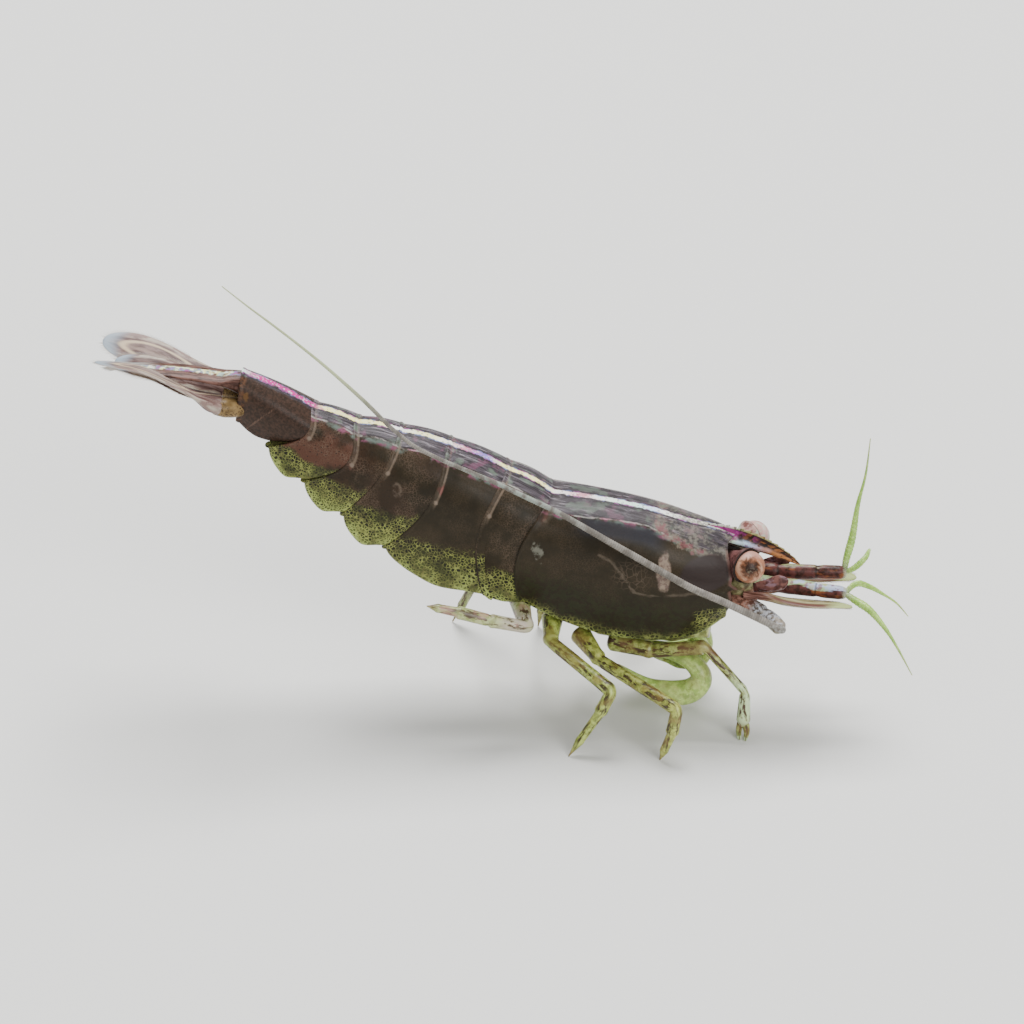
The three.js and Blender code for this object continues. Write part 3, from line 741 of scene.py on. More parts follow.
def plate(node, paint, front, peg=0.4, laps=False, margin=None, marks=None):
    """One plate of the trunk, tucked under the plate ahead, with its rear rim standing over the next.

    `peg` is how far round the flank its hinge ends, and `margin` how far forward its front edge is, in mm.
    """
    sections = rings_of(node, AHEAD)
    piece, ring, column = ball(PLATE_SIDES, PLATE_RINGS)
    turns = np.arange(PLATE_SIDES) / PLATE_SIDES
    rounds = np.minimum(turns, 1 - turns) * 2
    steps = np.arange(PLATE_RINGS + 1) / PLATE_RINGS
    lap = between(rounds, *LAP_BAND) * laps
    ways_to_close = zip(closing(steps, front), closing(steps, LAPPING))
    share, size, shift = (plain * (1 - lap) + lapped * lap for plain, lapped in ways_to_close)
    if margin is not None:
        shift = shift + margin(rounds) * (1 - ease(steps, 0.11, 0.34))[:, None] * (steps > 0.09)[:, None]
    # two corners before the first and three after the last, so that the curve round the plate closes
    wrapped = np.concatenate([sections[:, -2:], sections, sections[:, :3]], axis=1)
    smooth = glide(wrapped.swapaxes(0, 1), 2 + turns * sections.shape[1]).swapaxes(0, 1)
    at = share[:, 0] * (len(sections) - 1)
    table = glide(smooth, at)
    middle = glide(sections.mean(axis=1), at)[:, None]
    way = sections[0].mean(axis=0) - sections[-1].mean(axis=0)
    length = np.linalg.norm(way)
    girth = round_from_ridge(table)
    table = middle + (table - middle) * size[..., None] + way / length * shift[..., None]
    places, share, size, shift, girth = (v[ring, column] for v in (table, share, size, shift, girth))
    lay(piece, places)
    rounds = rounds[column]
    rear = (1 - share) * np.linalg.norm(smooth[0] - smooth[-1], axis=1)[column]
    miss = np.abs(rear - HINGE_AHEAD) + FAR * np.abs(rounds - peg) + np.where(size > 0.97, 0, FAR)
    other_side = [np.where((places[:, 1] < MID_Y) == right, 0, FAR) for right in (True, False)]
    hinges = [places[np.argmin(miss + aside)] for aside in other_side]
    readings = {
        "round": rounds,
        "share": share,
        "run": share * length - shift + sections[0, 0, 0],
        "girth": girth,
        "border": girth - np.interp(places[:, 0], *zip(*BACK_REACH)),
        "rear": rear,
        "dot": np.min([np.linalg.norm(places - hinge, axis=1) for hinge in hinges], axis=0),
        "dot_way": rounds - peg,
    }
    for label, mark in (marks or {}).items():
        readings[label] = from_line(places, mark) if isinstance(mark, list) else oval(places, *mark)
    return dress(piece, node + "_shell", [node], paint, readings)


def carapace_margin(rounds):
    """The front edge: close round the eyes, with a spine beneath, a full cheek and a rounded corner."""
    roof = 0.24 * (1 - ease(rounds, 0.02, 0.15))
    orbit = 0.2 * hump(rounds, 0.36, 0.12)
    spike = 0.3 * hump(rounds, 0.47, 0.016)
    cheek = 0.12 * hump(rounds, 0.58, 0.08)
    corner = 0.16 * ease(rounds, 0.62, 0.73) + 0.48 * ease(rounds, 0.72, 0.92)
    return roof + orbit + spike + cheek - corner


# Each somite's finish, and how its plate is made.
SOMITES = {
    1: ({"lobe": 0.58, "mesh": 0.4, "hinge": 1}, {"peg": 0.31}),
    2: ({"lobe": 0.53, "mesh": 0.1, "hinge": 1}, {"peg": 0.37, "laps": True}),
    3: (
        {"lobe": 0.52, "mesh": 0.45, "red": 0.12, "hinge": 0.9, "cobble": 8.5, "extra": third_somite_marks},
        {"peg": 0.34, "marks": THIRD_SOMITE_MARKS},
    ),
    4: ({"lobe": 0.51, "mesh": 0.6, "red": 0.2, "hinge": 0.9, "cobble": 9.5}, {"peg": 0.4}),
    5: ({"lobe": 0.53, "mesh": 0.75, "red": 0.8, "hinge": 0.9, "cobble": 9.5}, {"peg": 0.4}),
    6: (
        {"lobe": 0.95, "moss": 0.0, "mesh": 0.3, "red": 0.5, "extra": last_somite_marks},
        {"marks": LAST_SOMITE_MARKS},
    ),
}


def make_trunk():
    finish = shell("carapace_shell", lobe=0.95, moss=0.0, mesh=0.12, hinge=0.25, extra=carapace_marks)
    plate("carapace", finish, HOLLOW, peg=0.2, margin=carapace_margin, marks=CARAPACE_MARKS)
    for number, (look, build) in SOMITES.items():
        plate(f"abdomen_{number}", shell(f"somite_{number}_shell", **look), TUCKED, **build)


# ---- head: eyes, rostrum and face
def eye_finish(side):
    """A copper disc with a darker stirred middle and a rosy rim. The dark middle is a painted pseudopupil,
    painted shade where the eye is seen head-on; the pinker top is a painted highlight, and a grey speck low
    in the middle is a painted reflection. The far eye is paler round its rim, a painted highlight.
    """
    gloss = {"Roughness": 0.42, "Specular_IOR_Level": 0.16, "Coat_Weight": 0.06, "Coat_Roughness": 0.2}
    p = Paint(f"eye_{side}_gloss", **gloss)
    out, lift = p.read("share"), p.read("lift")
    swirl = p.noise(2.3, 4.0, 0.65, warp=1.8)
    middle = out + lift * 0.07
    copper = p.mix(p.noise(3.0).over(0.42, 0.6), (0.34, 0.142, 0.078), (0.5, 0.285, 0.185))
    # painted highlight: the top of the eye pinker
    copper = p.mix(lift.over(0.35, 0.75) * 0.6, copper, (0.44, 0.25, 0.215))
    # painted shade: the dark middle is a painted pseudopupil, round the eye's pole
    hub = (middle + swirl.push(0.5)).over(0.06, 0.22)
    p.colour = p.mix(hub, (0.022, 0.01, 0.006), (0.13, 0.052, 0.026))
    # painted reflection: a grey speck low in the middle
    speck = p.noise(12.0, 2.0).over(0.52, 0.62) * lift.over(0.05, -0.25) * out.over(0.24, 0.16)
    p.wash(speck * 0.5, (0.17, 0.14, 0.095))
    p.wash((middle + swirl.push(0.45)).over(0.17, 0.3), copper)
    p.wash(out.over(0.4, 0.5) * 0.5, (0.2, 0.075, 0.045))
    if side == "left":
        # painted highlight: pale pink and green round the far eye's rim
        pale = p.mix(swirl.over(0.46, 0.56), (0.58, 0.36, 0.35), (0.5, 0.58, 0.47))
        p.wash(out.over(0.18, 0.32) * (0.35 + 0.5 * p.noise(1.4).over(0.4, 0.55)), pale)
    return p.finish(p.cells(14.0, "F1"), 0.004)


# Each stalk's dark and light colours: the near stalk's painted in shade, the far stalk's paler as if lit from
# above.
STALK_COLOURS = {
    "right": ((0.05, 0.02, 0.017), (0.15, 0.063, 0.06)),
    "left": ((0.17, 0.07, 0.06), (0.44, 0.28, 0.24)),
}


def stalk_finish(side):
    """Painted shade under the brow and in the gap round the eye's rim. The far stalk is paler, painted as lit
    from above, with green patches of painted highlight.
    """
    p, grain = mottled(f"eyestalk_{side}_shell", (4.0, 3.0), 0.4, 0.6, *STALK_COLOURS[side])
    share = p.read("share")
    if side == "left":
        # painted highlight: pale green patches on the far stalk
        p.wash(p.noise(3.0, at=p.spot(p.x, p.z, 2.0)).over(0.5, 0.6) * 0.8, (0.42, 0.5, 0.38))
    # painted shade under the brow, towards the stalk's root
    p.wash(share.over(0.55, 0.35), (0.02, 0.012, 0.01))
    # painted shade in the gap round the eye's rim
    p.wash(share.over(0.93, 0.985), (0.016, 0.008, 0.006))
    return p.finish(grain, 0.015)


EYE_SIDES, EYE_RINGS = 64, 40
EYE_BACK = 0.12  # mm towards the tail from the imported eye's middle
CUP = [(0, 0.26), (0.42, 0.32), (0.62, 0.42), (0.8, 0.58), (0.93, 0.7), (0.97, 0.71), (1, 0.66)]


def make_eyes():
    for side, sign in SIDES.items():
        eye, stalk = f"eye_{side}", f"eyestalk_{side}"
        low, high = box_of(eye)
        middle = (low + high) / 2
        radius = (high - low).mean() / 2
        # for the near eye the pole is set close to the camera's way, so that its painted pseudopupil faces
        # the camera; the far eye's is its mirror
        pole = unit([0.15, 0.86 * sign, 0.48])  # the way the eye looks
        piece, ring, column = ball(EYE_SIDES, EYE_RINGS)
        across = unit(np.cross(pole, (0, 0, 1)))
        lat, turn = math.pi * ring / EYE_RINGS, 2 * math.pi * column / EYE_SIDES
        around = across * np.cos(turn)[:, None] + np.cross(pole, across) * np.sin(turn)[:, None]
        middle[0] -= EYE_BACK
        outward = pole * np.cos(lat)[:, None] + around * np.sin(lat)[:, None]
        lay(piece, middle + radius * outward)
        upward = unit(np.cross(across, pole))
        readings = {"share": ring / EYE_RINGS, "lift": outward @ upward * np.sign(upward[2])}
        dress(piece, eye + "_cornea", [eye], eye_finish(side), readings)
        root = spine(stalk, (0, MID_Y, middle[2]))[0]
        way = unit(middle - root)
        path = even(np.array([root - way * 0.5, middle - way * radius * 0.16]), 60)
        limb(stalk + "_cup", [stalk], stalk_finish(side), path, swell(path, CUP, 1), sides=48)


ROSTRUM_TEETH = 16  # over the whole length; the ones at its ends are left out
ROSTRUM_WIDE = [(0, 0.06), (0.12, 0.26), (0.3, 0.38), (0.45, 0.31), (0.6, 0.18), (0.8, 0.11), (1, 0.03)]
ROSTRUM_HIGH = [
    (0, 0.06), (0.12, 0.24), (0.3, 0.38), (0.45, 0.39), (0.6, 0.34), (0.78, 0.24), (0.92, 0.13), (1, 0.03),
]


def rostrum_finish():
    """Brown and orange with slanting dark teeth above, and a broken light band below, a painted highlight of
    iridescent gloss, that fades to rust.
    """
    p = Paint("rostrum_shell", **SOFT_SHELL)
    upper, share, run = p.read("upper"), p.read("share"), p.read("run")
    grain = p.noise(5.0, 3.0, 0.6)
    streak = p.noise(4.5, 3.0, 0.6, at=p.spot(run * 0.35, upper * 0.35, 0.0))
    orange = p.mix(share.over(0.35, 0.75), (0.13, 0.046, 0.026), (0.27, 0.098, 0.03))
    p.colour = p.mix(streak.over(0.46, 0.62), (0.024, 0.01, 0.007), orange)
    teeth = ((run - upper * 0.3) * (2 * math.pi / 0.34)).sine()
    p.wash((teeth + grain.push(1.8)).over(0.2, 0.7) * upper.over(-0.05, 0.2) * 0.8, NIGHT)
    blush = (share + p.noise(1.8, 2.0).push(0.5)).over(0.46, 0.36)
    purple = p.mix(grain.over(0.4, 0.6), (0.2, 0.02, 0.14), (0.42, 0.05, 0.26))
    p.wash(blush * upper.between(-0.1, 0.2, 0.8, 0.95) * 0.85, purple)
    # painted highlight: the iridescent band along the blade's lower side
    band = (upper - share.over(0.6, 0.3) * 0.1 + p.noise(3.0).push(0.5)).near(-0.34, 0.36, 0.5)
    light = p.ramp(share + p.noise(2.5, 2.0).push(0.2), 0.0, 1.0, [
        (0.2, (0.6, 0.3, 0.45)), (0.28, MINT), (0.38, (0.52, 0.66, 0.48)), (0.5, SKY),
        (0.6, (0.6, 0.42, 0.5)), (0.7, (0.42, 0.17, 0.06)),
    ])
    p.wash(band * grain.over(0.34, 0.46), light)
    # painted highlight: a pale line along the lower edge, nearer the root
    p.wash(upper.over(-0.8, -0.93) * share.over(0.75, 0.6) * 0.8, (0.62, 0.55, 0.46))
    # the pale crest along the top: the back's pale stripe carried on, partly a painted highlight
    crest = p.mix(share.over(0.3, 0.45), (0.5, 0.52, 0.44), (0.3, 0.29, 0.12))
    p.wash(upper.over(0.86, 0.96) * grain.over(0.36, 0.5) * 0.85, crest)
    flush = p.noise(2.6, 2.0).over(0.55, 0.63) * share.over(0.62, 0.5) * 0.7
    p.wash(flush * upper.over(0.9, 0.7), (0.26, 0.035, 0.15))
    return p.finish(grain - teeth * 0.2, 0.012)


def make_rostrum():
    path = spine("rostrum", (0, MID_Y, 8))
    back = unit(path[0] - path[1])
    path = flow(np.vstack([path[0] + back * 1.5 + [0, 0, 0.02], path]), 40, 160, 6)

    def section(out, up, share):
        teeth = np.mod(share * ROSTRUM_TEETH, 1) * between(share, 0.12, 0.2, 0.93, 0.97)
        blade = 0.3 + 0.7 * hump(up, -0.25, 0.38)
        return out * blade, up * (1 + 0.22 * teeth * (up > 0.93))

    wide, high = (swell(path, stations, 8) for stations in (ROSTRUM_WIDE, ROSTRUM_HIGH))
    limb("rostrum_blade", ["rostrum"], rostrum_finish(), path, wide, high, 28, shape=section)


def face_finish():
    """Red-brown, with mossy patches low down."""
    p, grain = mottled("face_shell", (3.2, 4.0, 0.6), 0.38, 0.6, (0.075, 0.034, 0.022), (0.26, 0.14, 0.095))
    moss = p.mix(p.noise(4.5).over(0.4, 0.62), (0.085, 0.07, 0.03), (0.28, 0.27, 0.13))
    p.wash(p.noise(1.3).over(0.46, 0.56) * p.z.over(6.3, 5.9) * 0.9, moss)
    return p.finish(grain, 0.03)


def make_face():
    path = spine("face", (0, MID_Y, 5.6))
    path = even(np.vstack([path[0] - [1.0, 0, 0], path, path[-1] + [0.12, 0, 0]]), 40, 3)
    wide = swell(path, [(0, 0.5), (0.3, 0.8), (0.7, 0.95), (0.92, 0.84), (1, 0.5)], 2)
    high = swell(path, [(0, 0.5), (0.3, 0.62), (0.7, 0.7), (0.92, 0.52), (1, 0.3)], 2)
    limb("face_shell", ["face"], face_finish(), path, wide, high, 48)


# ---- antennules and antennae
# Each antennule stem's painted highlight, a broken light band along its top: how far up it begins, and its
# two colours.
STEM_LOOKS = {
    "right": (0.52, (0.32, 0.44, 0.22), (0.36, 0.41, 0.56)),
    "left": (0.9, (0.24, 0.27, 0.12), (0.3, 0.22, 0.17)),
}


def stem_finish(side, sheen_from, mint, sky):
    """Dark red, with orange streaks, under a broken light band of painted highlight, which begins the given
    share of the way up.
    """
    reds = (0.028, 0.012, 0.009), (0.096, 0.031, 0.027)
    p, grain = mottled(f"antennule_stem_{side}_shell", (4.0, 4.0, 0.6), 0.36, 0.62, *reds)
    share, upper = p.read("share"), p.read("upper")
    streak = p.noise(3.2, at=p.spot(p.x * 0.35, p.y, p.z))
    p.wash(streak.over(0.56, 0.66) * 0.7, (0.26, 0.085, 0.026))
    # painted highlight along the top of the stem, in mint, sky and straw
    light = p.mix(p.noise(1.7, 2.0).over(0.46, 0.56), mint, sky)
    straw = p.noise(2.8, 2.0, at=p.spot(p.x, p.y, 5.0)).over(0.52, 0.6)
    light = p.mix(straw * 0.6, light, (0.4, 0.36, 0.15))
    light = p.mix(grain.over(0.5, 0.6) * 0.8, light, (0.17, 0.07, 0.09))
    p.wash((upper + streak.push(1.3)).over(sheen_from, sheen_from + 0.16) * 0.9, light)
    p.wash(upper.over(-0.55, -0.9) * 0.5, (0.3, 0.26, 0.1))
    for knee in (0.36, 0.71):
        p.wash(share.near(knee, 0.008, 0.8) * 0.6, NIGHT)
    p.wash((share + grain.push(0.08)).over(0.95, 0.99) * 0.7, (0.38, 0.42, 0.3))
    return p.finish(grain, 0.02)


def pointed_scale_finish():
    """The small scale beside each antennule: red-brown, streaked along with lilac."""
    browns = (0.06, 0.024, 0.021), (0.17, 0.072, 0.06)
    p, grain = mottled("antennule_scale_shell", (4.0, 4.0, 0.6), 0.36, 0.62, *browns)
    share, across = p.read("share"), p.read("across")
    streak = p.noise(5.0, at=p.spot(p.read("run") * 0.3, across * 0.3, 0.0), warp=0.4)
    p.wash(streak.over(0.52, 0.64) * 0.5, (0.3, 0.19, 0.23))
    p.wash((across + grain.push(1.4)).over(0.66, 1.0) * share.over(0.3, 0.6) * 0.5, (0.36, 0.3, 0.3))
    return p.finish(streak, 0.02)


def feeler_finish():
    """Clear green with fine darker rings, greyer at the root and the tip."""
    greens = (0.24, 0.42, 0.062), (0.35, 0.54, 0.115)
    p, grain = mottled("feeler_shell", (3.0, 3.0), 0.4, 0.6, *greens, look=CLEAR_SHELL)
    share, run = p.read("share"), p.read("run")
    p.wash((share + grain.push(0.06)).over(0.13, 0.03) * 0.6, (0.34, 0.34, 0.24))
    p.wash((run * 2 * math.pi / FEELER_PITCH).sine().over(0.5, 1.0) * 0.25, (0.22, 0.3, 0.09))
    p.wash(share.over(0.55, 1.0) * 0.5, (0.34, 0.36, 0.24))
    return p.finish()


def ringed(radii, run, pitch, depth):
    """Radii cut into short rings, each a little wider at its outer end."""
    return radii * (1 - depth + depth * np.mod(run / pitch, 1))


# Half thickness along each part, as [share, mm].
ANTENNULE = [
    (0, 0.2), (0.08, 0.33), (0.2, 0.37), (0.33, 0.33), (0.36, 0.28), (0.39, 0.28), (0.45, 0.31), (0.66, 0.29),
    (0.7, 0.28), (0.715, 0.25), (0.73, 0.25), (0.78, 0.28), (0.93, 0.27), (0.985, 0.21), (1, 0.1),
]
POINTED_SCALE = [(0, 0.05), (0.35, 0.2), (0.7, 0.31), (0.84, 0.31), (0.95, 0.18), (1, 0.05)]
PEDUNCLE = [
    (0, 0.2), (0.12, 0.3), (0.35, 0.35), (0.56, 0.31), (0.6, 0.23), (0.65, 0.27), (0.8, 0.31), (0.94, 0.29),
    (1, 0.12),
]
WHIP = [
    (0, 0.13), (0.02, 0.155), (0.27, 0.145), (0.39, 0.115), (0.48, 0.095), (0.62, 0.08), (0.72, 0.085),
    (0.8, 0.065), (0.92, 0.045), (1, 0.02),
]
SCALE_START, SCALE_END = 8, 52  # the rings of the antennule's stem between which its scale lies
FEELER_THICK = {"inner": 0.14, "outer": 0.17}  # mm, half thickness
WHIP_RINGS = 2600
WHIP_PITCH = 0.095  # mm from one ring of the long antenna to the next
FEELER_PITCH = 0.16  # mm from one ring of a feeler to the next


def make_antennules():
    feeler_paint, scale_paint = feeler_finish(), pointed_scale_finish()
    for side, sign in SIDES.items():
        node = f"antennule_stem_{side}"
        stem_paint = stem_finish(side, *STEM_LOOKS[side])
        path = spine(node, (8, MID_Y, 5.6))
        way = unit(path[1] - path[0])
        path = even(np.vstack([path[0] - way * 0.7, path]), 120, 6)
        limb(node + "_shell", [node], stem_paint, path, swell(path, ANTENNULE, 2), sides=28)
        # the pointed scale that lies along the stem's outer side
        low, high = path[SCALE_START], path[SCALE_END]
        offsets = np.array([(0, 0.2 * sign, 0), (0, 0.36 * sign, 0.14), (0.1, 0.24 * sign, 0.4)])
        line = even(np.array([low, (low + high) / 2, high]) + offsets, 60, 8)
        wide = swell(line, POINTED_SCALE, 3)
        name = f"antennule_scale_{side}_shell"
        limb(name, [], scale_paint, line, wide, wide * 0.34, 24, lie=(0.35, 0.25 * sign, -1))
        for branch, full in FEELER_THICK.items():
            node = f"antennule_feeler_{side}_{branch}"
            tip = path[-1]
            line = spine(node, tip)
            line = flow(np.vstack([tip - way * 0.1, line]), 60, 260, 10)
            taper = [(0.05, full * 0.8), (0.2, full), (0.35, full * 0.8), (0.6, full * 0.4)]
            taper = swell(line, [(0, 0.1), *taper, (1, 0.018)], 6)
            taper = ringed(taper, lengths(line), FEELER_PITCH, 0.12)
            limb(node + "_whip", [node], feeler_paint, line, taper, sides=14, lie=(0.3, 1, 0.2))


def peduncle_finish():
    """Red-brown near the face, then blue-white with dark mottling."""
    p = Paint("antenna_stem_shell", **SOFT_SHELL)
    share, grain = p.read("share"), p.noise(4.5, 4.0, 0.65)
    root = p.mix(grain.over(0.38, 0.6), (0.085, 0.038, 0.026), (0.34, 0.17, 0.12))
    tip = p.mix(p.noise(7.5, 3.0, 0.65).over(0.38, 0.6), (0.085, 0.07, 0.056), (0.41, 0.42, 0.45))
    tip = p.mix(p.noise(2.6).over(0.48, 0.6) * 0.75, tip, (0.26, 0.215, 0.155))
    p.colour = p.mix((share + grain.push(0.5)).over(0.3, 0.5), root, tip)
    p.wash(p.read("upper").over(-0.2, -0.9) * 0.4, (0.34, 0.36, 0.16))
    return p.finish(grain, 0.03)


def whip_finish():
    """Grey-brown with fine darker rings, mottled at the root and yellow-green towards the tip."""
    greys = (0.135, 0.122, 0.106), (0.235, 0.215, 0.19)
    p, grain = mottled("antenna_whip_shell", (2.2, 3.0), 0.4, 0.6, *greys)
    run, share = p.read("run"), p.read("share")
    rings = ((run + p.noise(4.0, 2.0).push(0.03)) * (2 * math.pi / WHIP_PITCH)).sine()
    p.wash(rings.over(0.2, 1.0) * 0.4, (0.1, 0.088, 0.075))
    mottle = p.mix(p.noise(7.5, 3.0, 0.65).over(0.38, 0.6), (0.12, 0.102, 0.085), (0.3, 0.3, 0.28))
    p.wash((run + grain.push(0.8)).over(1.5, 0.7) * 0.9, mottle)
    p.wash(share.near(0.46, 0.08, 0.9) * grain.over(0.42, 0.52) * 0.5, (0.26, 0.33, 0.29))
    p.wash(share.over(0.68, 0.8) * 0.8, (0.46, 0.52, 0.3))
    return p.finish()


def antennal_scale_finish():
    """Cream, with a maroon line down its outer side, rosy at its root and yellow-green at its far end."""
    p = Paint("antenna_scale_shell", **SOFT_SHELL)
    share, across = p.read("share"), p.read("across")
    lengthwise = p.spot(p.read("run") * 0.2, across * 0.5, p.read("upper") * 0.2)
    streak = p.noise(5.0, 4.0, 0.6, at=lengthwise, warp=0.3)
    p.colour = p.mix(streak.over(0.4, 0.6), (0.14, 0.11, 0.05), (0.31, 0.285, 0.155))
    rosy = p.mix(streak.over(0.42, 0.58), (0.085, 0.035, 0.025), (0.26, 0.13, 0.1))
    p.wash((share + streak.push(0.3)).over(0.36, 0.16), rosy)
    line = (across.abs() + streak.push(0.3)).near(0.72, 0.26, 0.6)
    p.wash(line * share.between(0.16, 0.3, 0.85, 0.95) * 0.9, (0.085, 0.022, 0.02))
    p.wash((share + streak.push(0.2)).over(0.74, 0.9) * 0.85, (0.36, 0.42, 0.17))
    return p.finish(streak, 0.015)


def make_antennae():
    stem_paint, whip_paint, scale_paint = peduncle_finish(), whip_finish(), antennal_scale_finish()
    for side, sign in SIDES.items():
        node = f"antenna_stem_{side}"
        path = spine(node, (8, MID_Y, 5))
        path = even(np.vstack([path[0] - [0.6, 0.25 * sign, -0.1], path]), 90, 5)
        limb(node + "_shell", [node], stem_paint, path, swell(path, PEDUNCLE, 2), sides=28)
        # one whip from stem to tip
        nodes = [f"antenna_whip_{side}_{number}" for number in (1, 2, 3)]
        line = np.vstack([spine(node, path[-1]) for node in nodes])
        line = flow(np.vstack([path[-6], line]), 300, WHIP_RINGS, 40)
        taper = ringed(swell(line, WHIP, 6), lengths(line), WHIP_PITCH, 0.09)
        limb(f"antenna_whip_{side}", nodes, whip_paint, line, taper, sides=12)
        make_blade(
            f"antenna_scale_{side}", (0, MID_Y, 5), scale_paint, 0.44, 0.09, root=0.25, full=0.6,
            fringe=(0.36, 0.97), hair=0.22, skip=1, tuck=(-0.95, -0.1 * sign, 0.0), stout=1.6)


# ---- tail fan and other thin blades
def blade_finish(name, vein, inner, outer, loop, clear=0.0):
    """A thin blade: a dark middle inside a pale vein, striped along it, with a paler, clearer tip."""
    p = Paint(name, **SOFT_SHELL)
    share, across = p.read("share"), p.read("across")
    grain = p.noise(5.0, 4.0, 0.6, at=p.spot(p.read("run") * 0.2, across * 0.55, 0.0), warp=0.3)
    p.colour = p.mix(grain.over(0.4, 0.62), inner, outer)
    far = across.abs() + grain.push(0.2)
    p.wash(far.over(0.52, 0.9), p.mix(grain.over(0.45, 0.6), outer, (0.4, 0.35, 0.28)))
    ring = (((across / 0.52) ** 2.0 + ((share - 0.58) / 0.27) ** 2.0) ** 0.5).near(1.0, 0.12, 0.8)
    p.wash(ring * loop, vein)
    p.wash(across.near(0.0, 0.1, 0.8) * (1 - loop) * 0.7, vein)
    tip = (share + far * far * 0.06).over(0.84, 0.98)
    p.wash(tip * 0.85, (0.32, 0.4, 0.47))
    spots = p.cells(9.0, "F1").over(0.3, 0.12) * p.noise(1.4, 2.0).over(0.42, 0.56) * share.over(0.7, 0.3)
    p.wash(spots * 0.8, (0.075, 0.032, 0.025))
    return p.finish(grain, 0.02, Alpha=1 - clear * tip)


BLADE_RINGS = 90
HAIRS_A_SIDE = 64
HAIR_THICK = 0.011  # mm, half thickness at a hair's root


def make_blade(
    node, first, paint, full_width, thick, root=0.3, full=0.72, fringe=(0.35, 1), hair=0.26,
    lie=None, skip=0, tuck=(0, 0, 0), stout=2.2,
):
    """A paddle along a packed blade, with a fringe of hairs round its margin.

    Its half width is `root` of the full one at its root and all of it from `full` on, and its root is `stout`
    times as thick as the rest and drawn out by `tuck` mm. The path's first `skip` points are left out.
    """
    path = spine(node, first)[skip:]
    if any(tuck):
        path = np.vstack([path[0] + tuck, path])
    lie = width_way(node, first) if lie is None else lie
    path = flow(path, 60, BLADE_RINGS, 6)
    shares = np.linspace(0, 1, BLADE_RINGS)
    body = root + (1 - root) * ease(shares, 0, full)
    rounded = np.sqrt(np.clip(1 - ((shares - full) / (1 - full)) ** 2, 0, 1))
    wide = closed(full_width * np.where(shares < full, body, rounded))
    root_deep = thick * stout
    deep = [(0, root_deep), (0.1, root_deep), (0.23, thick * 1.7), (0.6, thick), (1, thick * 0.6)]
    limb(node + "_blade", [node], paint, path, wide, swell(path, deep, 3), 40, lie)
    across, down, along = frames(path, lie)
    random = np.random.default_rng(len(node) * 7 + 3)
    roots, ways, spots, curls = [], [], [], []
    for edge in (-1, 1):
        for share in np.linspace(*fringe, HAIRS_A_SIDE):
            at = min(share, 0.992) * (BLADE_RINGS - 1)
            i = int(at)
            step = path[i + 1] - path[i]
            out = unit(across[i] * edge - along[i] * (wide[i + 1] - wide[i]) / np.linalg.norm(step))
            half = wide[i] + (wide[i + 1] - wide[i]) * (at - i)
            roots.append(path[i] + step * (at - i) + across[i] * edge * half * 0.97)
            stray = down[i] * random.normal(0, 0.1) + across[i] * random.normal(0, 0.06)
            ways.append(out * 0.75 + along[i] * 0.75 + stray)
            spots.append((share, 0.5 + 0.45 * edge * wide[i] / full_width))
            curls.append(along[i] * 0.2 - out * 0.08)
    reach = hair * (0.55 + 0.45 * np.abs(np.sin(np.arange(len(roots)) * 1.7)))
    hairs(node + "_fringe", fringe_paint(), roots, ways, reach, HAIR_THICK, spots, curls)


def fringe_paint():
    """One finish shared by every fringe: pale, clear hair."""
    if "fringe_hair" in bpy.data.materials:
        return bpy.data.materials["fringe_hair"]
    p = Paint("fringe_hair", Roughness=0.45, Specular_IOR_Level=0.3)
    p.colour = p.mix(p.read("share"), (0.38, 0.33, 0.28), (0.6, 0.6, 0.58))
    p.wash(p.noise(2.0, 2.0).over(0.4, 0.6) * 0.4, (0.55, 0.44, 0.34))
    return p.finish(Alpha=0.85 - 0.35 * p.read("share"))


def telson_finish():
    """Red-brown, with a broken light band along the middle, a painted iridescent highlight, and a paler tip.
    """
    p = Paint("telson_shell", **SOFT_SHELL)
    share, across = p.read("share"), p.read("across")
    grain = p.noise(4.0, 4.0, 0.65, at=p.spot(p.read("run") * 0.35, across, 0.0), warp=0.4)
    p.colour = p.mix(grain.over(0.38, 0.6), (0.04, 0.016, 0.011), (0.15, 0.075, 0.058))
    blotch = p.noise(3.0)
    # painted highlight: the iridescent band along the middle
    band = (across.abs() + blotch.push(0.6)).over(0.36, 0.2) * blotch.over(0.32, 0.5)
    sheen = p.ramp(p.noise(2.4, 2.0), 0.3, 0.7, [
        (0.36, (0.34, 0.1, 0.26)), (0.42, (0.26, 0.26, 0.52)), (0.47, (0.3, 0.44, 0.24)), (0.51, WHITE),
        (0.56, STRAW), (0.62, (0.4, 0.56, 0.5)),
    ])
    p.wash(band * 0.8, sheen)
    p.wash((share + grain.push(0.3)).over(0.62, 0.95) * 0.75, (0.46, 0.5, 0.48))
    return p.finish(grain, 0.02)


def stump_finish():
    """Tan with fine dark specks."""
    tans = (0.115, 0.072, 0.026), (0.22, 0.145, 0.06)
    p, grain = mottled("uropod_base_shell", (3.0, 3.0), 0.35, 0.62, *tans)
    p.wash(p.cells(13.0, "F1").over(0.5, 0.3) * p.noise(1.5, 2.0).over(0.34, 0.5), (0.055, 0.03, 0.015))
    return p.finish(grain, 0.02)


# The uropods' blades: vein, dark and light colours, the loop's strength and how clear the tip is.
FAN_LOOKS = {
    "inner": ((0.44, 0.34, 0.23), (0.05, 0.024, 0.022), (0.17, 0.105, 0.092), 0.0, 0.12),
    "outer": ((0.55, 0.43, 0.28), (0.075, 0.038, 0.034), (0.23, 0.155, 0.135), 0.85, 0.2),
}
STUMP = [(0, 0.3), (0.3, 0.44), (0.6, 0.45), (0.8, 0.36), (1, 0.1)]


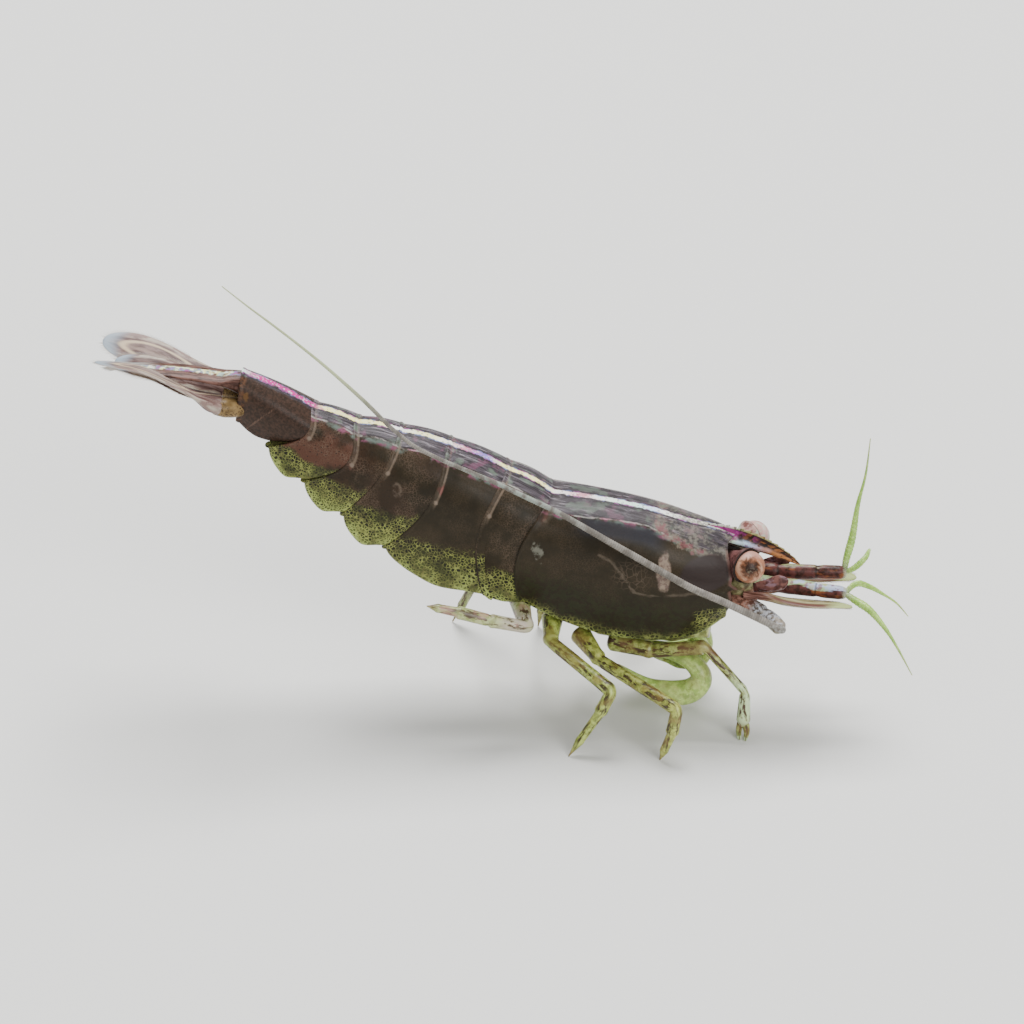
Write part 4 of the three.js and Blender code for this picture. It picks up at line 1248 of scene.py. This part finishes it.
def make_tail():
    inner, outer = (blade_finish(f"uropod_{which}", *look) for which, look in FAN_LOOKS.items())
    base = stump_finish()
    root = (0, MID_Y, 12.5)
    make_blade(
        "telson", root, telson_finish(), 0.6, 0.1, root=0.86, full=0.25, fringe=(0.93, 1), hair=0.3,
        lie=(0, 1, 0), tuck=(0.5, 0, -0.22), stout=4.3)
    for side, sign in SIDES.items():
        node = f"uropod_base_{side}"
        path = spine(node, root)
        way = unit(path[-1] - path[0])
        path = even(np.vstack([path[0] - way * 0.55, path, path[-1] + way * 0.3]), 60, 2)
        wide = swell(path, STUMP, 2)
        limb(node + "_shell", [node], base, path, wide, wide * 0.85, 28)
        tuck = (0.4, -0.12 * sign, -0.1)
        make_blade(f"uropod_inner_{side}", root, inner, 0.52, 0.05, root=0.85, tuck=tuck, stout=4)
        tuck = (0.35, -0.15 * sign, -0.2)
        make_blade(f"uropod_outer_{side}", root, outer, 0.7, 0.06, root=0.42, tuck=tuck, stout=4)


# ---- legs
def leg_finish(name, base, light, dark, stain, pale=0.0, cuff=None):
    """Mottled, with dark streaks along the leg and lighter joints. A `cuff` is a lighter stretch of it."""
    look = {**CLEAR_SHELL, "Subsurface_Weight": 0.15}
    p, grain = mottled(name, (4.5, 4.0, 0.65), 0.4, 0.6, base, light, look)
    share = p.read("share")
    lengthwise = p.spot(p.read("run") * 0.36, p.read("across") * 0.3, p.read("upper") * 0.3)
    streak = p.noise(5.2, 4.0, 0.62, at=lengthwise, warp=0.3)
    p.wash(streak.over(0.5, 0.58) * (1 - pale * 0.85), dark)
    p.wash(p.noise(1.2).over(0.5, 0.6) * (0.6 - pale * 0.45), stain)
    if cuff:
        middle, half, tint = cuff
        p.wash((share + grain.push(0.1)).near(middle, half, 0.5) * streak.over(0.6, 0.46) * 0.8, tint)
    p.wash(p.read("knee") * 0.4, light)
    p.wash(share.over(0.92, 1.0) * 0.5, (0.26, 0.16, 0.07))
    return p.finish(grain, 0.02)


# Half thickness of each leg segment, at its near and far end.
WALKING = [(0.42, 0.3), (0.25, 0.26), (0.24, 0.25), (0.19, 0.17), (0.13, 0.03)]
PINCHING = [(0.42, 0.32), (0.28, 0.28), (0.18, 0.17), (0.21, 0.27)]
# The folded front leg is one smooth crescent: [share along it, half thickness].
FOLDED = [
    (0, 0.2), (0.08, 0.3), (0.26, 0.34), (0.42, 0.44), (0.55, 0.5), (0.68, 0.46), (0.8, 0.34),
    (0.92, 0.2), (1, 0.06),
]
LEG_RINGS = 140
FIRST_HIPS = (box_of("breast_plate")[1][0] - 2, MID_Y, 3.2)  # a place between the front pair of legs
HIPS = (2.5, MID_Y, 4.2)  # a place between the other legs


def make_leg(name, paint, thick, claw):
    """One leg with its [near, far] half thicknesses, ending in a hook or a pincer, or folded with no claw."""
    joints = spine(name, FIRST_HIPS if "leg_1" in name else HIPS)
    if claw == "none":
        path = flow(joints, 90, LEG_RINGS, 8)
        finish_leg(name, paint, path, profile(thick, LEG_RINGS, 6), (0.3, 0.62, 0.84))
        return
    joints = joints[::3]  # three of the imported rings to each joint
    toe = joints[-1].copy()
    if claw == "hook":
        joints = np.vstack([joints[:-1], joints[-2] + (joints[-1] - joints[-2]) * 0.7, joints[-1:]])
    if claw == "pincer":
        joints[-1] = joints[-2] + (joints[-1] - joints[-2]) * 0.72
    lift = unit(joints[0] - joints[1]) * 0.3 + [0, 0, 0.25]
    joints[0] = joints[0] + lift
    run = lengths(joints) / lengths(joints)[-1]
    stations = [(0, 0.2)]
    for a, b, (near, far) in zip(run, run[1:], thick):
        part = b - a
        knuckle = (b - 0.04 * part, far * 1.07)
        stations += [(a + 0.1 * part, near), (a + 0.8 * part, far), knuckle, (b, far * 0.8)]
    path = even(joints, LEG_RINGS, 5)
    radii = profile(stations, LEG_RINGS, 1)
    if claw == "pincer":  # the palm narrows to where its fingers start
        radii[-6:] = np.linspace(radii[-7], 0.1, 6)
    leg = finish_leg(name, paint, path, radii, run[1:-1])
    if claw == "pincer":
        join([leg, *fingers(name, paint, path, toe, thick[-1][1])])


def finish_leg(name, paint, path, radii, bends):
    """A leg's skin, with a reading of how near each place is to a bend."""
    leg = limb(name + "_shell", [name], paint, path, closed(radii), sides=24, lie=(0.25, 1, 0.1))
    share = np.empty(len(leg.data.vertices), np.float32)
    leg.data.attributes["share"].data.foreach_get("value", share)
    knees = sum(hump(share, bend, 0.012) for bend in bends)
    write(leg, "knee", np.clip(knees, 0, 1))
    return leg


def fingers(name, paint, path, toe, palm):
    """The two fingers of a pincer, from the palm to the toe."""
    way = unit(path[-1] - path[-10])
    aside = unit(np.cross(way, (0.3, 1, 0)))
    made = []
    for turn, sign in enumerate((-1, 1)):
        start = path[-1] - way * 0.16 + aside * sign * palm * 0.42
        end = toe + aside * sign * 0.12
        middle = (start + end) / 2 + aside * sign * 0.05
        line = even(np.array([start, middle, end]), 36, 6)
        radii = swell(line, [(0, palm * 0.5), (0.3, palm * 0.5), (0.8, palm * 0.34), (1, 0.04)], 2)
        finger = limb(f"{name}_finger_{turn}", [], paint, line, radii, sides=12, lie=(0.3, 1, 0.2))
        made.append(finger)
    return made


# Each leg's base, light, dark and stain colours.
LEG_COLOURS = {
    1: [(0.29, 0.42, 0.085), (0.47, 0.6, 0.165), (0.11, 0.1, 0.05), (0.36, 0.29, 0.12)],
    2: [(0.18, 0.2, 0.045), (0.38, 0.42, 0.12), (0.055, 0.03, 0.014), (0.16, 0.085, 0.03)],
    3: [(0.2, 0.22, 0.042), (0.43, 0.47, 0.105), (0.05, 0.032, 0.012), (0.21, 0.135, 0.036)],
    4: [(0.2, 0.24, 0.045), (0.42, 0.49, 0.115), (0.048, 0.036, 0.013), (0.2, 0.145, 0.036)],
    5: [(0.24, 0.28, 0.085), (0.44, 0.48, 0.22), (0.075, 0.05, 0.025), (0.4, 0.23, 0.17)],
}
LEG_EXTRAS = {
    1: {"pale": 0.8},
    2: {"cuff": (0.91, 0.17, (0.6, 0.78, 0.46))},
    5: {"cuff": (0.42, 0.14, (0.45, 0.37, 0.33))},
}
LEG_BUILDS = {1: (FOLDED, "none"), 2: (PINCHING, "pincer")}


def make_legs():
    for number, colours in LEG_COLOURS.items():
        paint = leg_finish(f"leg_{number}_shell", *colours, **LEG_EXTRAS.get(number, {}))
        for side in SIDES:
            make_leg(f"leg_{number}_{side}", paint, *LEG_BUILDS.get(number, (WALKING, "hook")))


# ---- underside
def belly_finish():
    """Pale yellow-green with brown patches."""
    greens = (0.22, 0.24, 0.075), (0.5, 0.54, 0.2)
    p, grain = mottled("belly_skin", (3.4, 4.0, 0.6), 0.38, 0.6, *greens, look=CLEAR_SHELL)
    p.wash(p.noise(1.3).over(0.5, 0.6) * 0.8, (0.085, 0.07, 0.03))
    return p.finish(grain, 0.03)


BREAST_RIBS = 5
JAW_FOOT = [(0, 0.2), (0.3, 0.22), (0.55, 0.22), (0.8, 0.17), (1, 0.04)]


def make_underside():
    paint = belly_finish()
    path = flow(spine("breast_plate", (0, MID_Y, 4)), 60, 120, 4)
    ribs = 1 - 0.12 * np.abs(np.sin(np.linspace(0, BREAST_RIBS * math.pi, len(path))))
    wide = swell(path, [(0, 0.6), (0.5, 1.05), (1, 0.85)], 4) * ribs
    deep = swell(path, [(0, 0.3), (0.5, 0.58), (1, 0.48)], 4) * ribs
    limb("breast_plate_skin", ["breast_plate"], paint, path, wide, deep, 40)
    pale = bpy.data.materials["leg_1_shell"]
    for side in SIDES:
        node = f"jaw_foot_{side}"
        path = flow(spine(node, (6.7, MID_Y, 3.3)) - [0.2, 0, 0], 60, 90, 4)
        foot = limb(node + "_shell", [node], pale, path, swell(path, JAW_FOOT, 2))
        write(foot, "knee", np.zeros(len(foot.data.vertices)))
    leaf = blade_finish("swimmeret_leaf", LIME, (0.2, 0.2, 0.08), (0.46, 0.48, 0.24), 0.0, 0.3)
    for number in range(1, 6):
        for side in SIDES:
            make_blade(
                f"swimmeret_{number}_{side}", AHEAD, leaf, 0.3, 0.07, root=0.6, full=0.6, hair=0.18,
                lie=(0, 1, 0))


# ---- camera, light and floor
VIEW_AZIMUTH = math.radians(6)
VIEW_ELEVATION = math.radians(30)
LENS = 300  # a long lens, in mm, for a view with little perspective
SENSOR = 36
FIELD = 39.83  # mm of the animal's surroundings across the frame
AIM = (-0.214, 3.226, 6.074)  # the place in mm at the middle of the frame
LAMP_AIM = Vector((0, 0, 0.006))
SKY_LIGHT = 0.45
# Each lamp's place and size in metres, and its power in watts.
SOFTBOXES = {
    "top_softbox": ((-0.02, 0.14, 0.34), 0.2, 2.6),
    "front_softbox": ((0.2, -0.3, 0.24), 0.24, 1.6),
}
FLOOR_SIZE = 3  # metres


def make_camera():
    data = bpy.data.cameras.new("camera")
    camera = bpy.data.objects.new("camera", data)
    bpy.context.scene.collection.objects.link(camera)
    data.lens = LENS
    data.sensor_width = SENSOR
    level = math.cos(VIEW_ELEVATION)
    back = Vector((math.sin(VIEW_AZIMUTH) * level, -math.cos(VIEW_AZIMUTH) * level, math.sin(VIEW_ELEVATION)))
    camera.location = Vector(AIM) * MM + back * (FIELD * LENS / SENSOR * MM)
    camera.rotation_euler = back.to_track_quat("Z", "Y").to_euler()
    data.clip_start = 0.01
    data.clip_end = 10
    bpy.context.scene.camera = camera


def softbox(name, place, size, watts):
    bpy.ops.object.light_add(type="AREA", location=place)
    lamp = bpy.context.object
    lamp.name = name
    lamp.data.size = size
    lamp.data.energy = watts
    lamp.rotation_euler = (Vector(place) - LAMP_AIM).to_track_quat("Z", "Y").to_euler()
    lamp.select_set(False)


def make_studio():
    world = bpy.data.worlds.new("studio")
    bpy.context.scene.world = world
    world.use_nodes = True
    sky = world.node_tree.nodes["Background"]
    sky.inputs["Color"].default_value = (0.9, 0.9, 0.9, 1)
    sky.inputs["Strength"].default_value = SKY_LIGHT
    for name, settings in SOFTBOXES.items():
        softbox(name, *settings)
    bpy.ops.mesh.primitive_plane_add(size=FLOOR_SIZE, location=(0, 0, 0))
    floor = bpy.context.object
    floor.name = "floor"
    p = Paint("floor_paint", Roughness=0.7, Base_Color=(0.72, 0.72, 0.7, 1))
    floor.data.materials.append(p.material)
    floor.select_set(False)


make_camera()
make_trunk()
make_eyes()
make_rostrum()
make_face()
make_antennules()
make_antennae()
make_tail()
make_legs()
make_underside()
make_studio()

bpy.context.view_layer.update()
